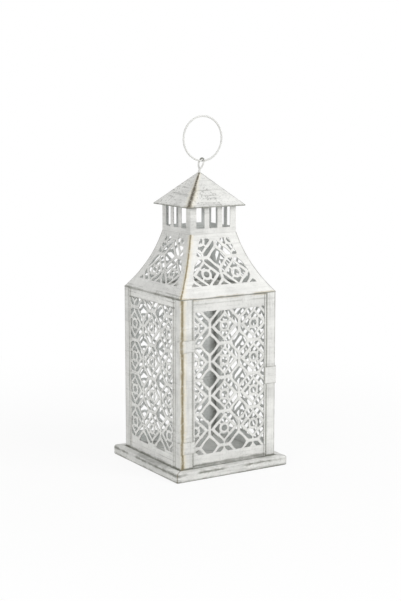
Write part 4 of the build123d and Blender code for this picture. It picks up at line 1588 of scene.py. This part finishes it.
def stage_floor(scene):
    """A pale floor that takes soft shadows near the lantern and fades to white further off."""
    mesh = bpy.data.meshes.new("floor")
    corners = box_outline(-FLOOR_REACH, -FLOOR_REACH, FLOOR_REACH, FLOOR_REACH)
    mesh.from_pydata([(x, y, 0.0) for x, y in corners], [], [(0, 1, 2, 3)])
    floor = bpy.data.objects.new("floor", mesh)
    scene.collection.objects.link(floor)
    material = bpy.data.materials.new("pale_floor")
    material.use_nodes = True
    material.node_tree.nodes.clear()
    s = Shader(material.node_tree)
    matte = s.node("ShaderNodeBsdfDiffuse", None, Color=FLOOR_COLOUR)
    bright = s.node("ShaderNodeEmission", None, Color=WHITE, Strength=1.0)
    place = s.node("ShaderNodeTexCoord").outputs["Object"]
    away = s.node("ShaderNodeVectorMath", {"operation": "LENGTH"}, n0=place).outputs["Value"]
    share = s.times(seen_directly(s), s.ramp(away, FLOOR_NEAR, FLOOR_FAR, FLOOR_NEAR_WHITE_SHARE, 1.0))
    blend = s.node("ShaderNodeMixShader", None, n0=share, n1=matte.outputs[0], n2=bright.outputs[0])
    s.node("ShaderNodeOutputMaterial", None, Surface=blend.outputs[0])
    mesh.materials.append(material)


def stage_world(scene):
    """A room that looks white and gives a softer light than it looks."""
    world = bpy.data.worlds.new("soft_room")
    scene.world = world
    world.use_nodes = True
    world.node_tree.nodes.clear()
    s = Shader(world.node_tree)
    strength = s.ramp(seen_directly(s), 0.0, 1.0, ROOM_LIGHT, 1.0)
    room = s.node("ShaderNodeBackground", None, Color=WHITE, Strength=strength)
    s.node("ShaderNodeOutputWorld", None, Surface=room.outputs[0])


def stage_lamps(scene):
    """Three broad square lamps that point at the lantern's middle."""
    for name, where, size, power in LAMPS:
        lamp = bpy.data.lights.new(name, "AREA")
        lamp.shape = "SQUARE"
        lamp.size = size
        lamp.energy = power
        holder = bpy.data.objects.new(name, lamp)
        scene.collection.objects.link(holder)
        holder.location = where
        aim = Vector(LAMP_AIM) - Vector(where)
        holder.rotation_euler = aim.to_track_quat("-Z", "Y").to_euler()


def stage_camera(scene):
    """The camera at the photograph's angle and distance."""
    right = Vector((math.cos(CAMERA_AZIMUTH), math.sin(CAMERA_AZIMUTH), 0))
    flat = math.cos(CAMERA_ELEVATION)
    back = Vector((right.y * flat, -right.x * flat, math.sin(CAMERA_ELEVATION)))
    target = Vector((0, 0, CAMERA_TARGET_RISE)) + right * CAMERA_TARGET_SIDE
    lens = bpy.data.cameras.new("camera")
    lens.sensor_width = CAMERA_SENSOR
    lens.lens = CAMERA_LENS
    lens.clip_start = CAMERA_NEAREST
    camera = bpy.data.objects.new("camera", lens)
    scene.collection.objects.link(camera)
    camera.location = target + back * CAMERA_DISTANCE
    camera.rotation_euler = (-back).to_track_quat("-Z", "Y").to_euler()
    scene.camera = camera


class LANTERN_OT_stage(bpy.types.Operator):
    """Sets the pale floor, the soft lamps, the world and the camera"""

    bl_idname = "lantern.stage"
    bl_label = "Set Stage"

    def execute(self, context):
        scene = context.scene
        scene.view_settings.view_transform = "Standard"
        stage_floor(scene)
        stage_world(scene)
        stage_lamps(scene)
        stage_camera(scene)
        return {"FINISHED"}


BUILD_ORDER = (
    LANTERN_OT_finishes,
    LANTERN_OT_foot,
    LANTERN_OT_posts,
    LANTERN_OT_panels,
    LANTERN_OT_hood,
    LANTERN_OT_neck,
    LANTERN_OT_roof,
    LANTERN_OT_wires,
    LANTERN_OT_fittings,
    LANTERN_OT_stage,
)


class LANTERN_PT_panel(bpy.types.Panel):
    """Lists the steps that build the lantern"""

    bl_idname = "LANTERN_PT_panel"
    bl_label = "Punched Tin Lantern"
    bl_space_type = "VIEW_3D"
    bl_region_type = "UI"
    bl_category = "Lantern"

    def draw(self, context):
        for group in settings(context):
            column = self.layout.column()
            for name in group.__annotations__:
                column.prop(group, name)
        for step in BUILD_ORDER:
            self.layout.operator(step.bl_idname)


CLASSES = (LanternSizes, LanternFinish) + BUILD_ORDER + (LANTERN_PT_panel,)


def register():
    """Registers the classes and puts the settings on the scene."""
    for cls in CLASSES:
        bpy.utils.register_class(cls)
    bpy.types.Scene.lantern_sizes = bpy.props.PointerProperty(type=LanternSizes)
    bpy.types.Scene.lantern_finish = bpy.props.PointerProperty(type=LanternFinish)


def unregister():
    """Takes the settings off the scene and unregisters the classes."""
    del bpy.types.Scene.lantern_finish
    del bpy.types.Scene.lantern_sizes
    for cls in reversed(CLASSES):
        bpy.utils.unregister_class(cls)


def main():
    """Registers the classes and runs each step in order."""
    register()
    for step in BUILD_ORDER:
        category, name = step.bl_idname.split(".")
        getattr(getattr(bpy.ops, category), name)()


if __name__ == "__main__":
    main()
